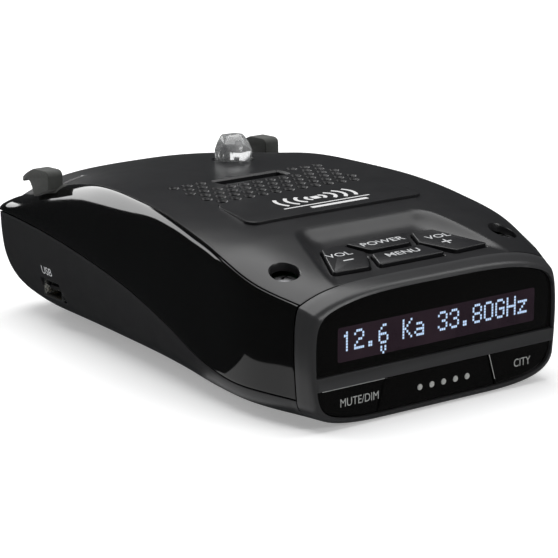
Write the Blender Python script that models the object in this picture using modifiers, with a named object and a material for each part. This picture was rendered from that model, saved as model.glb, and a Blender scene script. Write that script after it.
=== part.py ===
"""Dashboard radar detector, built as an assembly of separate pieces.

Frame: the origin is the centre of the base, +Z is up, +X is to the right of a
person who faces the display, and the display faces -Y. Lengths in the code are
millimetres, turned into metres by MM where a mesh or a matrix is made.
A "station" is a distance from the front face towards the rear.
"""

import math

import bmesh
import bpy
from mathutils import Matrix, Vector

MM = 0.001

# Overall body
LENGTH = 118.8
WALL = 1.6
GAP = 0.3
SEAM_HALF = 0.2
CENTRE_Z = 14.0

# Curves of the body along its length: (station, value)
CROWN_Z = ((0, 27.5), (5, 28.35), (27, 33.9), (36, 35.1), (50, 36.0), (66, 36.3),
           (84, 36.0), (96, 34.95), (106, 33.1), (118, 29.8))
EDGE_X = ((0, 30.6), (3, 31.4), (9, 33.7), (17, 35.6), (35, 34.6), (60, 31.1),
          (88, 28.0), (112, 27.3), (118, 27.2))
EDGE_Z = ((0, 23.6), (3, 24.7), (15, 27.9), (23, 30.6), (35, 33.3), (48, 35.1),
          (62, 35.7), (80, 35.3), (95, 32.6), (112, 27.4), (118, 26.4))
PARTING_X = ((0, 31.9), (5, 32.9), (16, 35.6), (30, 36.3), (60, 35.6), (90, 34.0), (118, 32.8))
PARTING_Z = ((0, 6.0), (12, 6.2), (23, 6.7), (31, 8.4), (44, 13.3), (62, 18.3),
             (75, 20.5), (90, 22.4), (104, 23.6), (118, 24.2))
BASE_X = ((0, 14.0), (15, 16.0), (60, 15.0), (118, 13.0))
SHOULDER = ((0, 3.6), (13, 7.0), (27, 6.0), (45, 3.0), (70, 2.2), (90, 2.5), (118, 3.4))
STATIONS = (4.7, 9.5, 15, 21, 27, 35, 45, 57, 70, 83, 95, 104, 110, 114, 116.6, 118.2, LENGTH)
TOP_STEPS, SIDE_STEPS, BASE_STEPS = 8, 5, 6

# Rounding of the ends: radius along the length, then how far each side comes in
FRONT_ROUND = 1.4
REAR_ROUND, REAR_SIDE_IN, REAR_TOP_IN = 7.0, 4.0, 3.4
REAR_BASE_ROUND, REAR_BASE_IN = 18.0, 6.0

# Front face
BEZEL_DEPTH = 4.4
BEZEL_FACE = 2.6
BEZEL_LIP = 1.25
WINDOW_LOW_Z, PANEL_HIGH_Z = 11.0, 8.4
SPLIT_TOP_X, SPLIT_LOW_X, SPLIT_LOW_Z = 13.6, 15.4, 2.4
PANEL_FRONT = 0.55
KEY_THICK, STRIP_THICK = 2.4, 1.6
LED_Z, LED_MIDDLE_X, LED_PITCH, LED_COUNT = 4.6, 1.8, 3.15, 5
LED_HOLE, LED_PIN, LED_SET_BACK = 0.95, 0.6, 0.15
GUIDE_SIZE, GUIDE_STATION = (17, 1.5, 2.6), 3.3
WINDOW_STATION, WINDOW_THICK = 0.7, 1.7
DISPLAY_SIZE, DISPLAY_STATION, DISPLAY_Z = (53, 4.6, 10.2), 5.2, 17.1
STEP_SIZE, STEP_STATION = (48, 2, 7.6), 2.8
FRONT_SWITCH_X, FRONT_SWITCH_Z = 22.0, 5.8
FRONT_SWITCH_TOP, FRONT_SWITCH_BOTTOM = -4.2, -8.3
FRONT_BOARD_SIZE, FRONT_BOARD_STATION, FRONT_BOARD_Z = (49.6, 1.6, 17.0), 9.4, 12.5

# Inside
MAIN_BOARD_SIZE, MAIN_BOARD_STATION, MAIN_BOARD_Z = (38, 82, 1.6), 53, 9.8
SHIELD_SIZE, SHIELD_STATION, SHIELD_Z, SHEET = (24, 20, 4.4), 40, 13.2, 0.6
SOCKET_OUTER, SOCKET_INNER = (21.0, 6.4), (18.4, 4.5)
SOCKET_LOW, SOCKET_HIGH, SOCKET_FLOOR = 25.6, 33.2, 1.2
RIBBON_HALF_THICK, RIBBON_HALF_WIDTH = 0.2, 8

# Keypad, in a frame that lies on the sloping floor of the recess
FLOOR_STATION, FLOOR_Z, FLOOR_SLOPE = 14.0, 29.2, 0.145
FLOOR_TILT = math.atan(FLOOR_SLOPE)
FLOOR_THICK = 1.6
BUTTON_HIGH, BUTTON_LOW = 0.8, -2.6
VOLUME_OUTLINE = ((9.4, 6.4), (14.6, 6.1), (20.3, -5.2), (11.3, -5.6), (7.05, 0.9))
POWER_OUTLINE = ((-8.0, 6.7), (8.0, 6.7), (5.3, 1.7), (-5.3, 1.7))
MENU_OUTLINE = ((-6.4, 0.0), (6.4, 0.0), (8.6, -5.5), (-8.6, -5.5))
SWITCH_SPOTS = {"vol_down": (-12.8, 0.6), "power": (0, 4.2), "menu": (0, -2.9), "vol_up": (12.8, 0.6)}
SWITCH_SIDE, SWITCH_TOP, SWITCH_BOTTOM = 4.6, -3.8, -5.9
PLUNGER_RADIUS, PLUNGER_HOLE, PLUNGER_LENGTH, PLUNGER_PROUD = 1.2, 1.5, 1.9, 0.9
SWITCH_FLOOR = 0.3
KEYPAD_BOARD_SIZE, KEYPAD_BOARD_Y, KEYPAD_BOARD_Z = (33, 12.4, 1.2), 0.9, -6.8

# Top cover features
SCREW_X, SCREW_STATION = 28.8, 13.6
REAR_SCREW_X, REAR_SCREW_STATION = 22.0, 106.5
WELL_RADIUS, SHANK_RADIUS, HEAD_RADIUS = 3.05, 1.2, 2.7
GRILLE_PITCH, GRILLE_ROWS, GRILLE_COLUMNS = 3.54, 8, 12
GRILLE_STATION, GRILLE_HOLE = 65.1, 0.8
SLOT_HALF, SLOT_FRONT, SLOT_REAR = 9.0, 61.5, 65.7
LENS_X, LENS_STATION, LENS_RADIUS = 9.0, 82.5, 4.4
SENSOR_SIZE, SENSOR_Z = (5, 4.4, 1.4), 31.3
LASER_BOARD_SIZE, LASER_BOARD_Z = (16, 16, 1.0), 29.7
BADGE_FRONT, BADGE_REAR, BADGE_FRONT_X, BADGE_REAR_X = 32.2, 48.0, 23.5, 21.0
BUMPER_X, BUMPER_HALF = 30.0, 2.25

# Posts inside the casing run from below or above the wall, which trims them
BODY_LOW, BODY_TOP = -2.0, 40.0
POST_RADIUS, BOSS_RADIUS = 3.2, 4.2

# Main board posts: (x, station)
BOARD_POSTS = ((-16, 20), (16, 20), (-16, 62), (16, 62))

# Sockets in the sides of the bottom cover
USB_STATION, USB_Z = 95.8, 9.0
JACK_Z, POWER_JACK_STATION, EARPHONE_STATION = 11.0, 88.0, 74.0

FINISHES = {
    "satin": ((0.030, 0.030, 0.032), 0.45, 0.0),
    "gloss": ((0.006, 0.006, 0.007), 0.08, 0.0),
    "bezel": ((0.045, 0.045, 0.048), 0.38, 0.0),
    "window": ((0.008, 0.007, 0.007), 0.06, 0.0),
    "key": ((0.035, 0.035, 0.038), 0.42, 0.0),
    "clear": ((0.80, 0.82, 0.83), 0.05, 0.0),
    "rubber": ((0.050, 0.055, 0.050), 0.75, 0.0),
    "board": ((0.020, 0.110, 0.050), 0.55, 0.0),
    "tin": ((0.62, 0.62, 0.60), 0.30, 1.0),
    "cast_zinc": ((0.50, 0.50, 0.50), 0.50, 1.0),
    "steel": ((0.30, 0.30, 0.31), 0.35, 1.0),
    "white_plastic": ((0.70, 0.70, 0.68), 0.45, 0.0),
    "black_plastic": ((0.020, 0.020, 0.020), 0.50, 0.0),
    "cone_paper": ((0.060, 0.060, 0.060), 0.80, 0.0),
    "flex": ((0.55, 0.32, 0.10), 0.40, 0.0),
}


# ---------------------------------------------------------------- scene and helpers

def clear_scene():
    for obj in list(bpy.data.objects):
        bpy.data.objects.remove(obj, do_unlink=True)


def make_collection(name):
    collection = bpy.data.collections.new(name)
    bpy.context.scene.collection.children.link(collection)
    return collection


def make_material(name):
    colour, roughness, metallic = FINISHES[name]
    material = bpy.data.materials.new(name)
    material.use_nodes = True
    shader = material.node_tree.nodes["Principled BSDF"]
    shader.inputs["Base Color"].default_value = (*colour, 1.0)
    shader.inputs["Roughness"].default_value = roughness
    shader.inputs["Metallic"].default_value = metallic
    material.diffuse_color = (*colour, 1.0)
    return material


clear_scene()
PARTS = make_collection("radar_detector")
CUTTERS = make_collection("cutters")


def place(x, station, z):
    """A translation to a point given in body coordinates, in millimetres."""
    return Matrix.Translation((x * MM, (station - LENGTH / 2) * MM, z * MM))


def facing_front(station):
    """A frame whose local X-Y plane is the body's X-Z plane, with local +Z towards the front."""
    return place(0, station, 0) @ Matrix.Rotation(math.radians(90), 4, "X")


FLOOR = place(0, FLOOR_STATION, FLOOR_Z) @ Matrix.Rotation(FLOOR_TILT, 4, "X")


def add_object(name, mesh, finish, matrix=None):
    """Links a mesh as a named part, or as a hidden cutter when it has no finish."""
    obj = bpy.data.objects.new(name, mesh)
    obj.matrix_world = matrix or Matrix()
    if finish:
        PARTS.objects.link(obj)
        material = make_material(finish)
        material.name = f"{name}_{finish}"
        mesh.materials.append(material)
    else:
        CUTTERS.objects.link(obj)
        obj.hide_render = True
        obj.display_type = "WIRE"
    return obj


def finish_mesh(name, bm):
    bmesh.ops.recalc_face_normals(bm, faces=bm.faces)
    mesh = bpy.data.meshes.new(name)
    bm.to_mesh(mesh)
    bm.free()
    return mesh


def smooth(obj, angle=35):
    obj.data.shade_smooth()
    obj.data.set_sharp_from_angle(angle=math.radians(angle))


def add_bevel(obj, width, segments=1):
    bevel = obj.modifiers.new("Bevel", "BEVEL")
    bevel.width = width * MM
    bevel.segments = segments
    bevel.limit_method = "ANGLE"


def boolean(target, other, operation="DIFFERENCE"):
    modifier = target.modifiers.new(other.name, "BOOLEAN")
    modifier.operation = operation
    modifier.object = other


def box(name, size, matrix, finish=None, bevel=0.0):
    """A box of the given size whose centre is the matrix's origin."""
    bm = bmesh.new()
    bmesh.ops.create_cube(bm, size=1)
    bmesh.ops.scale(bm, vec=Vector(size) * MM, verts=bm.verts)
    obj = add_object(name, finish_mesh(name, bm), finish, matrix)
    if bevel:
        add_bevel(obj, bevel)
    return obj


def cylinder(name, radius, low, high, matrix, finish=None, sides=16):
    """A cylinder along the matrix's local Z, from low to high."""
    bm = bmesh.new()
    bmesh.ops.create_cone(bm, cap_ends=True, segments=sides, radius1=radius * MM,
                          radius2=radius * MM, depth=(high - low) * MM)
    middle = Matrix.Translation((0, 0, (low + high) / 2 * MM))
    obj = add_object(name, finish_mesh(name, bm), finish, matrix @ middle)
    smooth(obj)
    return obj


def turned(name, profile, matrix, finish, steps=20):
    """A profile of (radius, height) points, listed top to bottom, turned about local Z."""
    mesh = bpy.data.meshes.new(name)
    points = [(radius * MM, 0, height * MM) for radius, height in profile]
    mesh.from_pydata(points, [(i, i + 1) for i in range(len(points) - 1)], [])
    obj = add_object(name, mesh, finish, matrix)
    screw = obj.modifiers.new("Screw", "SCREW")
    screw.steps = steps
    screw.render_steps = steps
    screw.use_merge_vertices = True
    screw.merge_threshold = 0.00001
    return obj


def plate(name, outline, low, high, matrix, finish=None):
    """A flat outline in the matrix's local X-Y plane, thickened from low to high."""
    curve = bpy.data.curves.new(name, "CURVE")
    curve.dimensions = "2D"
    curve.fill_mode = "BOTH"
    curve.extrude = (high - low) / 2 * MM
    spline = curve.splines.new("POLY")
    spline.points.add(len(outline) - 1)
    for point, (x, y) in zip(spline.points, outline):
        point.co = (x * MM, y * MM, 0, 1)
    spline.use_cyclic_u = True
    guide = bpy.data.objects.new(name + "_curve", curve)
    CUTTERS.objects.link(guide)
    bpy.context.view_layer.update()
    evaluated = guide.evaluated_get(bpy.context.evaluated_depsgraph_get())
    flat = bpy.data.meshes.new_from_object(evaluated)
    bpy.data.objects.remove(guide)
    bm = bmesh.new()
    bm.from_mesh(flat)
    bmesh.ops.remove_doubles(bm, verts=bm.verts, dist=0.000001)
    middle = Matrix.Translation((0, 0, (low + high) / 2 * MM))
    return add_object(name, finish_mesh(name, bm), finish, matrix @ middle)


# ---------------------------------------------------------------- outlines

def curve_value(points, station):
    """A smooth curve through a few (station, value) points."""
    last = len(points) - 1
    slopes = [(b[1] - a[1]) / (b[0] - a[0]) for a, b in zip(points, points[1:])]
    i = max([k for k in range(last) if points[k][0] <= station] or [0])

    def tangent(k):
        if k in (0, last):
            return slopes[min(k, last - 1)]
        before = points[k][0] - points[k - 1][0]
        after = points[k + 1][0] - points[k][0]
        return (slopes[k - 1] * after + slopes[k] * before) / (before + after)

    step = points[i + 1][0] - points[i][0]
    t = (station - points[i][0]) / step
    if t > 1:
        return points[last][1] + slopes[-1] * (station - points[last][0])
    start, end = points[i][1], points[i + 1][1]
    return (start * (2 * t**3 - 3 * t**2 + 1) + end * (3 * t**2 - 2 * t**3)
            + step * (tangent(i) * (t**3 - 2 * t**2 + t) + tangent(i + 1) * (t**3 - t**2)))


def bezier(points, t):
    """A cubic Bezier point in two dimensions."""
    weights = ((1 - t)**3, 3 * t * (1 - t)**2, 3 * t * t * (1 - t), t**3)
    return tuple(sum(w * p[axis] for w, p in zip(weights, points)) for axis in (0, 1))


def cover_height(x, station):
    """Height of the top cover's outer surface."""
    crown = curve_value(CROWN_Z, station)
    drop = crown - curve_value(EDGE_Z, station)
    share = abs(x) / curve_value(EDGE_X, station)
    return crown - drop * share ** curve_value(SHOULDER, station)


def arc_inset(distance, radius):
    """How far a quarter arc of unit size comes in at a distance before its end."""
    run = max(0.0, 1 - distance / radius)
    return 1 - math.sqrt(max(0.0, 1 - run * run))


def pulled_in(points, side, top, base):
    """The outline brought in by side, top and base amounts about the body's middle."""
    widest = max(x for x, z in points)
    highest = max(z for x, z in points)
    high_scale = (highest - top - CENTRE_Z) / (highest - CENTRE_Z)
    low_scale = (CENTRE_Z - base) / CENTRE_Z
    scaled = []
    for x, z in points:
        scale = high_scale if z > CENTRE_Z else low_scale
        scaled.append((x * (widest - side) / widest, CENTRE_Z + (z - CENTRE_Z) * scale))
    return scaled


def half_outline(station):
    """The right half of the body's section, from the top centre to the edge of the flat base."""
    edge = (curve_value(EDGE_X, station), curve_value(EDGE_Z, station))
    parting = (curve_value(PARTING_X, station), curve_value(PARTING_Z, station))
    points = []
    for i in range(TOP_STEPS + 1):
        x = edge[0] * math.sin(math.pi / 2 * i / TOP_STEPS) ** 0.9
        points.append((x, cover_height(x, station)))
    bulge = max(parting[0], edge[0]) + 1.2
    side = (edge, (edge[0] + 1.5, edge[1] - 0.1),
            (bulge, edge[1] - 0.35 * (edge[1] - parting[1])), parting)
    points += [bezier(side, (i + 1) / SIDE_STEPS) for i in range(SIDE_STEPS)]
    belly = (parting, (parting[0] - 0.3, parting[1] * 0.36), (parting[0] * 0.86, 0),
             (curve_value(BASE_X, station), 0))
    points += [bezier(belly, (i + 1) / BASE_STEPS) for i in range(BASE_STEPS)]
    front = FRONT_ROUND * arc_inset(station, FRONT_ROUND)
    points = pulled_in(points, front, front, front)
    rear = arc_inset(LENGTH - station, REAR_ROUND)
    base = arc_inset(LENGTH - station, REAR_BASE_ROUND)
    return pulled_in(points, REAR_SIDE_IN * rear, REAR_TOP_IN * rear, REAR_BASE_IN * base)


def full_outline(station):
    half = half_outline(station)
    return half + [(-x, z) for x, z in half[:0:-1]]


def offset(outline, distance):
    """A closed outline with each side moved out by distance, or in when it is negative."""
    area = sum(a[0] * b[1] - b[0] * a[1] for a, b in zip(outline, outline[1:] + outline[:1]))
    turn = 1 if area > 0 else -1
    moved = []
    for i, here in enumerate(outline):
        before = Vector(here) - Vector(outline[i - 1])
        after = Vector(outline[(i + 1) % len(outline)]) - Vector(here)
        first = Vector((before.y, -before.x)).normalized() * turn
        second = Vector((after.y, -after.x)).normalized() * turn
        mitre = (first + second).normalized()
        moved.append(tuple(Vector(here) + mitre * distance / max(0.5, mitre.dot(first))))
    return moved


def clipped(outline, a, b, limit):
    """The part of a convex outline where a*x + b*y <= limit."""
    kept = []
    for p, q in zip(outline, outline[1:] + outline[:1]):
        over_p = a * p[0] + b * p[1] - limit
        over_q = a * q[0] + b * q[1] - limit
        if over_p <= 0:
            kept.append(p)
        if over_p * over_q < 0:
            t = over_p / (over_p - over_q)
            kept.append((p[0] + t * (q[0] - p[0]), p[1] + t * (q[1] - p[1])))
    return kept


def rounded_outline(outline, radius, steps=2):
    """A polygon with each corner replaced by a short arc."""
    points = []
    for i, corner in enumerate(outline):
        corner = Vector(corner)
        back = (Vector(outline[i - 1]) - corner).normalized() * radius
        ahead = (Vector(outline[(i + 1) % len(outline)]) - corner).normalized() * radius
        for k in range(steps + 1):
            t = k / steps
            points.append(tuple(corner + back * (1 - t) ** 2 + ahead * t * t))
    return points


def mirrored(outline):
    return [(-x, y) for x, y in reversed(outline)]


def front_outline(inset):
    """The bezel's outline just behind its rounded front edge, brought in by inset."""
    return offset(full_outline(FRONT_ROUND), -inset)


# ---------------------------------------------------------------- lofted shells

PARTING = TOP_STEPS + SIDE_STEPS
LOOP = 2 * (PARTING + BASE_STEPS) + 1


def drawn_back(outer, inner):
    """Both faces of a wall, with their ends drawn back from the seams by the same step."""
    outer = [Vector(p) for p in outer]
    inner = [Vector(p) for p in inner]
    for end, beside in ((0, 1), (-1, -2)):
        step = (outer[beside] - outer[end]).normalized() * SEAM_HALF
        outer[end] += step
        inner[end] += step
    return outer, inner


def shell(name, first, last, finish, closers=None):
    """A wall between outline points first and last, from the bezel to the rear.

    closers are outline points that complete the rear end wall, and None leaves
    the rear end open.
    """
    bm = bmesh.new()

    def row(points, station):
        y = (station - LENGTH / 2) * MM
        return [bm.verts.new((p.x * MM, y, p.y * MM)) for p in points]

    outer, inner = [], []
    for station in STATIONS:
        share = max(0.0, (station - 90) / (LENGTH - 90))
        inner_station = station - WALL * share * share
        outlines = full_outline(station), offset(full_outline(inner_station), -WALL)
        picked = [[outline[i % LOOP] for i in range(first, last + 1)] for outline in outlines]
        outer_points, inner_points = drawn_back(*picked)
        outer.append(row(outer_points, station))
        inner.append(row(inner_points, inner_station))
    for grid in (outer, inner):
        for a, b in zip(grid, grid[1:]):
            for i in range(len(a) - 1):
                bm.faces.new((a[i], a[i + 1], b[i + 1], b[i]))
    for i in range(len(outer) - 1):
        for end in (0, -1):
            bm.faces.new((outer[i][end], outer[i + 1][end], inner[i + 1][end], inner[i][end]))
    for i in range(len(outer[0]) - 1):
        bm.faces.new((outer[0][i], outer[0][i + 1], inner[0][i + 1], inner[0][i]))
        if closers is None:
            bm.faces.new((outer[-1][i], outer[-1][i + 1], inner[-1][i + 1], inner[-1][i]))
    if closers is not None:
        rims = []
        for grid, station in ((outer, LENGTH), (inner, LENGTH - WALL)):
            y = (station - LENGTH / 2) * MM
            extra = [bm.verts.new((x * MM, y, z * MM)) for x, z in closers]
            bm.faces.new(grid[-1] + extra)
            rims.append([grid[-1][-1]] + extra + [grid[-1][0]])
        for i in range(len(rims[0]) - 1):
            bm.faces.new((rims[0][i], rims[0][i + 1], rims[1][i + 1], rims[1][i]))
    obj = add_object(name, finish_mesh(name, bm), finish)
    smooth(obj)
    return obj


def loft(name, stations, finish=None, inset=0.0):
    """A closed solid through the body's sections, with flat ends, brought in by inset."""
    bm = bmesh.new()
    rings = []
    for station in stations:
        y = (station - LENGTH / 2) * MM
        outline = offset(full_outline(station), -inset) if inset else full_outline(station)
        rings.append([bm.verts.new((x * MM, y, z * MM)) for x, z in outline])
    for a, b in zip(rings, rings[1:]):
        for i in range(len(a)):
            j = (i + 1) % len(a)
            bm.faces.new((a[i], a[j], b[j], b[i]))
    bm.faces.new(rings[0])
    bm.faces.new(rings[-1])
    obj = add_object(name, finish_mesh(name, bm), finish)
    smooth(obj)
    return obj


def draped_slab(name, front, rear, front_half, rear_half, low, high_front, high_rear, finish=None):
    """A slab that follows the top cover, between offsets low and high from its surface."""
    columns, rows = 8, 5
    bm = bmesh.new()
    layers = []
    for is_top in (False, True):
        grid = []
        for j in range(rows + 1):
            v = j / rows
            station = front + (rear - front) * v
            half = front_half + (rear_half - front_half) * v
            lift = high_front + (high_rear - high_front) * v if is_top else low
            line = []
            for i in range(columns + 1):
                x = half * (2 * i / columns - 1)
                z = cover_height(x, station) + lift
                line.append(bm.verts.new((x * MM, (station - LENGTH / 2) * MM, z * MM)))
            grid.append(line)
        layers.append(grid)
    for grid in layers:
        for a, b in zip(grid, grid[1:]):
            for i in range(columns):
                bm.faces.new((a[i], a[i + 1], b[i + 1], b[i]))
    low_grid, high_grid = layers
    for i in range(columns):
        for j in (0, -1):
            bm.faces.new((low_grid[j][i], low_grid[j][i + 1], high_grid[j][i + 1], high_grid[j][i]))
    for j in range(rows):
        for i in (0, -1):
            bm.faces.new((low_grid[j][i], low_grid[j + 1][i], high_grid[j + 1][i], high_grid[j][i]))
    return add_object(name, finish_mesh(name, bm), finish)


def hexahedron(name, low_corners, high_corners, finish=None):
    """A solid between two rings of four (x, station, z) corners."""
    bm = bmesh.new()
    rings = [[bm.verts.new((x * MM, (s - LENGTH / 2) * MM, z * MM)) for x, s, z in ring]
             for ring in (low_corners, high_corners)]
    for i in range(4):
        j = (i + 1) % 4
        bm.faces.new((rings[0][i], rings[0][j], rings[1][j], rings[1][i]))
    for ring in rings:
        bm.faces.new(ring)
    return add_object(name, finish_mesh(name, bm), finish)


# ---------------------------------------------------------------- casing

def floor_height(station):
    return FLOOR_Z + FLOOR_SLOPE * (station - FLOOR_STATION)


def recess_solids():
    """The block that backs the keypad recess, and the wedge that is cut from it."""
    front, rear, rear_half, front_half = 5.2, 29.0, 18.0, 25.0
    low = [(x, s, floor_height(s) - FLOOR_THICK)
           for s, x in ((rear, rear_half), (rear, -rear_half), (front, -front_half), (front, front_half))]
    high = [(x, s, curve_value(CROWN_Z, s) - 1.1 - (0.5 if s == front else 0)) for x, s, z in low]
    block = hexahedron("recess_block", low, high)
    foot_station, foot_x, mouth_station, mouth_x = 23.0, 15.0, 3.0, 24.4
    top_z, top_station, top_x = 40.0, 34.5, 16.2
    flare_station, flare_x = -6.0, 40.1
    bottom = [(foot_x, foot_station, floor_height(foot_station)),
              (-foot_x, foot_station, floor_height(foot_station)),
              (-mouth_x, mouth_station, floor_height(mouth_station)),
              (mouth_x, mouth_station, floor_height(mouth_station))]
    top = [(top_x, top_station, top_z), (-top_x, top_station, top_z),
           (-flare_x, flare_station, top_z), (flare_x, flare_station, top_z)]
    return block, hexahedron("recess_cut", bottom, top)


def grille_cutter():
    """Small hexagonal holes in a staggered pattern, left out where the slot is."""
    bm = bmesh.new()
    row_pitch = GRILLE_PITCH * math.sqrt(3) / 2
    for row in range(GRILLE_ROWS):
        station = GRILLE_STATION - row * row_pitch
        shift = 0.5 * (row % 2)
        for column in range(GRILLE_COLUMNS - row % 2):
            x = (column - (GRILLE_COLUMNS - 1) / 2 + shift) * GRILLE_PITCH
            if station > SLOT_FRONT - 2.2 and abs(x) < SLOT_HALF + 2.4:
                continue
            spot = place(x, station, cover_height(x, station) - 1)
            bmesh.ops.create_cone(bm, cap_ends=True, segments=6, radius1=GRILLE_HOLE * MM,
                                  radius2=GRILLE_HOLE * MM, depth=8 * MM, matrix=spot)
    return add_object("grille_cut", finish_mesh("grille_cut", bm), None)


def rear_seam_height():
    """Height of the seam between the top and bottom covers across the rear wall."""
    return half_outline(LENGTH)[PARTING][1] - SEAM_HALF


def button_outline(key):
    outlines = {"vol_down": mirrored(VOLUME_OUTLINE), "vol_up": list(VOLUME_OUTLINE),
                "power": list(POWER_OUTLINE), "menu": list(MENU_OUTLINE)}
    return outlines[key]


def add_post(cover, name, radius, low, high, matrix, sides=12):
    """Joins a post to the inside of a casing part, trimmed where it meets the middle of the wall."""
    post = cylinder(name, radius, low, high, matrix, sides=sides)
    boolean(post, bpy.data.objects["body_core"], "INTERSECT")
    boolean(cover, post, "UNION")


def build_top_cover():
    low_z = rear_seam_height() + GAP
    closers = [(21.0, low_z), (-21.0, low_z)]
    cover = shell("top_cover", -TOP_STEPS, TOP_STEPS, "satin", closers)
    block, recess = recess_solids()
    boolean(cover, block, "UNION")
    for x in (-SCREW_X, SCREW_X):
        add_post(cover, "screw_boss", BOSS_RADIUS, 24.8, BODY_TOP, place(x, SCREW_STATION, 0), sides=16)
    for x in (-REAR_SCREW_X, REAR_SCREW_X):
        add_post(cover, "rear_post", POST_RADIUS, 9.0, BODY_TOP, place(x, REAR_SCREW_STATION, 0))
        pilot = cylinder("rear_pilot", 1.5, 5.0, 21.0, place(x, REAR_SCREW_STATION, 0), sides=8)
        boolean(cover, pilot)
    boolean(cover, recess)
    for key in SWITCH_SPOTS:
        hole = plate(f"{key}_hole", offset(rounded_outline(button_outline(key), 0.7), GAP), -3, 3, FLOOR)
        boolean(cover, hole)
    for x in (-SCREW_X, SCREW_X):
        boolean(cover, cylinder("screw_well", WELL_RADIUS, 26.6, 40, place(x, SCREW_STATION, 0)))
        boolean(cover, cylinder("screw_hole", 1.5, 20, 30, place(x, SCREW_STATION, 0), sides=8))
    slot_middle = (SLOT_FRONT + SLOT_REAR) / 2
    slot = box("slot_cut", (2 * SLOT_HALF, SLOT_REAR - SLOT_FRONT, 20), place(0, slot_middle, 36))
    boolean(cover, slot)
    boolean(cover, grille_cutter())
    boolean(cover, cylinder("lens_hole", LENS_RADIUS + GAP, 30, 40, place(LENS_X, LENS_STATION, 0)))
    pocket = draped_slab("badge_pocket", BADGE_FRONT - GAP, BADGE_REAR + GAP, BADGE_FRONT_X + GAP,
                         BADGE_REAR_X + GAP, -0.5, 3.0, 3.0)
    boolean(cover, pocket)


def build_side_panels():
    shell("right_side_panel", TOP_STEPS, PARTING, "gloss")
    shell("left_side_panel", LOOP - PARTING, LOOP - TOP_STEPS, "gloss")


def build_bottom_cover():
    high_z = rear_seam_height()
    closers = [(-27.0, high_z - 0.8), (-25.0, high_z), (25.0, high_z), (27.0, high_z - 0.8)]
    cover = shell("bottom_cover", PARTING, LOOP - PARTING, "satin", closers)
    for x in (-SCREW_X, SCREW_X):
        add_post(cover, "front_post", POST_RADIUS, BODY_LOW, 24.3, place(x, SCREW_STATION, 0))
        boolean(cover, cylinder("front_pilot", 1.5, 10, 30, place(x, SCREW_STATION, 0), sides=8))
    for x in (-REAR_SCREW_X, REAR_SCREW_X):
        spot = place(x, REAR_SCREW_STATION, 0)
        add_post(cover, "rear_boss", BOSS_RADIUS, BODY_LOW, 8.6, spot)
        boolean(cover, cylinder("rear_well", WELL_RADIUS, -5, 5.2, spot))
        boolean(cover, cylinder("rear_hole", 1.5, 4, 12, spot, sides=8))
    for x, station in BOARD_POSTS:
        add_post(cover, "board_post", 2.0, BODY_LOW, 8.6, place(x, station, 0), sides=8)
    usb = box("usb_cut", (20, 8.6, 5.0), place(-34, USB_STATION, USB_Z))
    boolean(cover, usb)
    sideways = Matrix.Rotation(math.radians(90), 4, "Y")
    for station, radius in ((POWER_JACK_STATION, 4.3), (EARPHONE_STATION, 3.3)):
        hole = cylinder("jack_cut", radius, 22, 45, place(0, station, JACK_Z) @ sideways)
        boolean(cover, hole)


def build_bezel():
    bezel = loft("front_bezel", (0, 0.15, 0.5, FRONT_ROUND, BEZEL_DEPTH), "bezel")
    rear = BEZEL_DEPTH + 2
    pocket = plate("bezel_pocket", front_outline(1.0), 0, rear - BEZEL_FACE, facing_front(rear))
    boolean(bezel, pocket)
    opening = front_outline(BEZEL_LIP)
    window = clipped(opening, 0, -1, -WINDOW_LOW_Z)
    panel = clipped(opening, 0, 1, PANEL_HIGH_Z)
    for name, outline in (("window_cut", window), ("panel_cut", panel)):
        boolean(bezel, plate(name, outline, 0, rear + 2, facing_front(rear)))


# ---------------------------------------------------------------- front panel pieces

def build_display():
    opening = front_outline(BEZEL_LIP + GAP)
    window = clipped(opening, 0, -1, -(WINDOW_LOW_Z + GAP))
    rear = facing_front(WINDOW_STATION + WINDOW_THICK)
    plate("display_window", window, 0, WINDOW_THICK, rear, "window")
    module = box("display_module", DISPLAY_SIZE, place(0, DISPLAY_STATION, DISPLAY_Z), "black_plastic", 0.4)
    boolean(module, box("display_step", STEP_SIZE, place(0, STEP_STATION, DISPLAY_Z)))


def lower_panel_pieces():
    """Outlines of the lower panel: left key, middle strip and right key."""
    opening = clipped(front_outline(BEZEL_LIP + GAP), 0, 1, PANEL_HIGH_Z - GAP)
    lean = (SPLIT_LOW_X - SPLIT_TOP_X) / (PANEL_HIGH_Z - SPLIT_LOW_Z)
    split = SPLIT_TOP_X + lean * PANEL_HIGH_Z
    middle = clipped(clipped(opening, 1, lean, split - GAP / 2), -1, lean, split - GAP / 2)
    right = clipped(opening, -1, -lean, -(split + GAP / 2))
    left = clipped(opening, 1, -lean, -(split + GAP / 2))
    return left, middle, right


def build_lower_panel():
    left, middle, right = lower_panel_pieces()
    key_rear = facing_front(PANEL_FRONT + KEY_THICK)
    plate("mute_dim_button", left, 0, KEY_THICK, key_rear, "window")
    plate("city_button", right, 0, KEY_THICK, key_rear, "window")
    panel = plate("led_panel", middle, 0, STRIP_THICK, facing_front(PANEL_FRONT + STRIP_THICK), "window")
    guide = box("led_light_guide", GUIDE_SIZE, place(LED_MIDDLE_X, GUIDE_STATION, LED_Z), "white_plastic")
    for i in range(LED_COUNT):
        x = LED_MIDDLE_X + (i - (LED_COUNT - 1) / 2) * LED_PITCH
        spot = facing_front(0) @ Matrix.Translation((x * MM, LED_Z * MM, 0))
        boolean(panel, cylinder(f"led_hole_{i}", LED_HOLE, -4, 2, spot, sides=10))
        pin = cylinder(f"led_pin_{i}", LED_PIN, -GUIDE_STATION, -PANEL_FRONT - LED_SET_BACK, spot, sides=8)
        boolean(guide, pin, "UNION")


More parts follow.
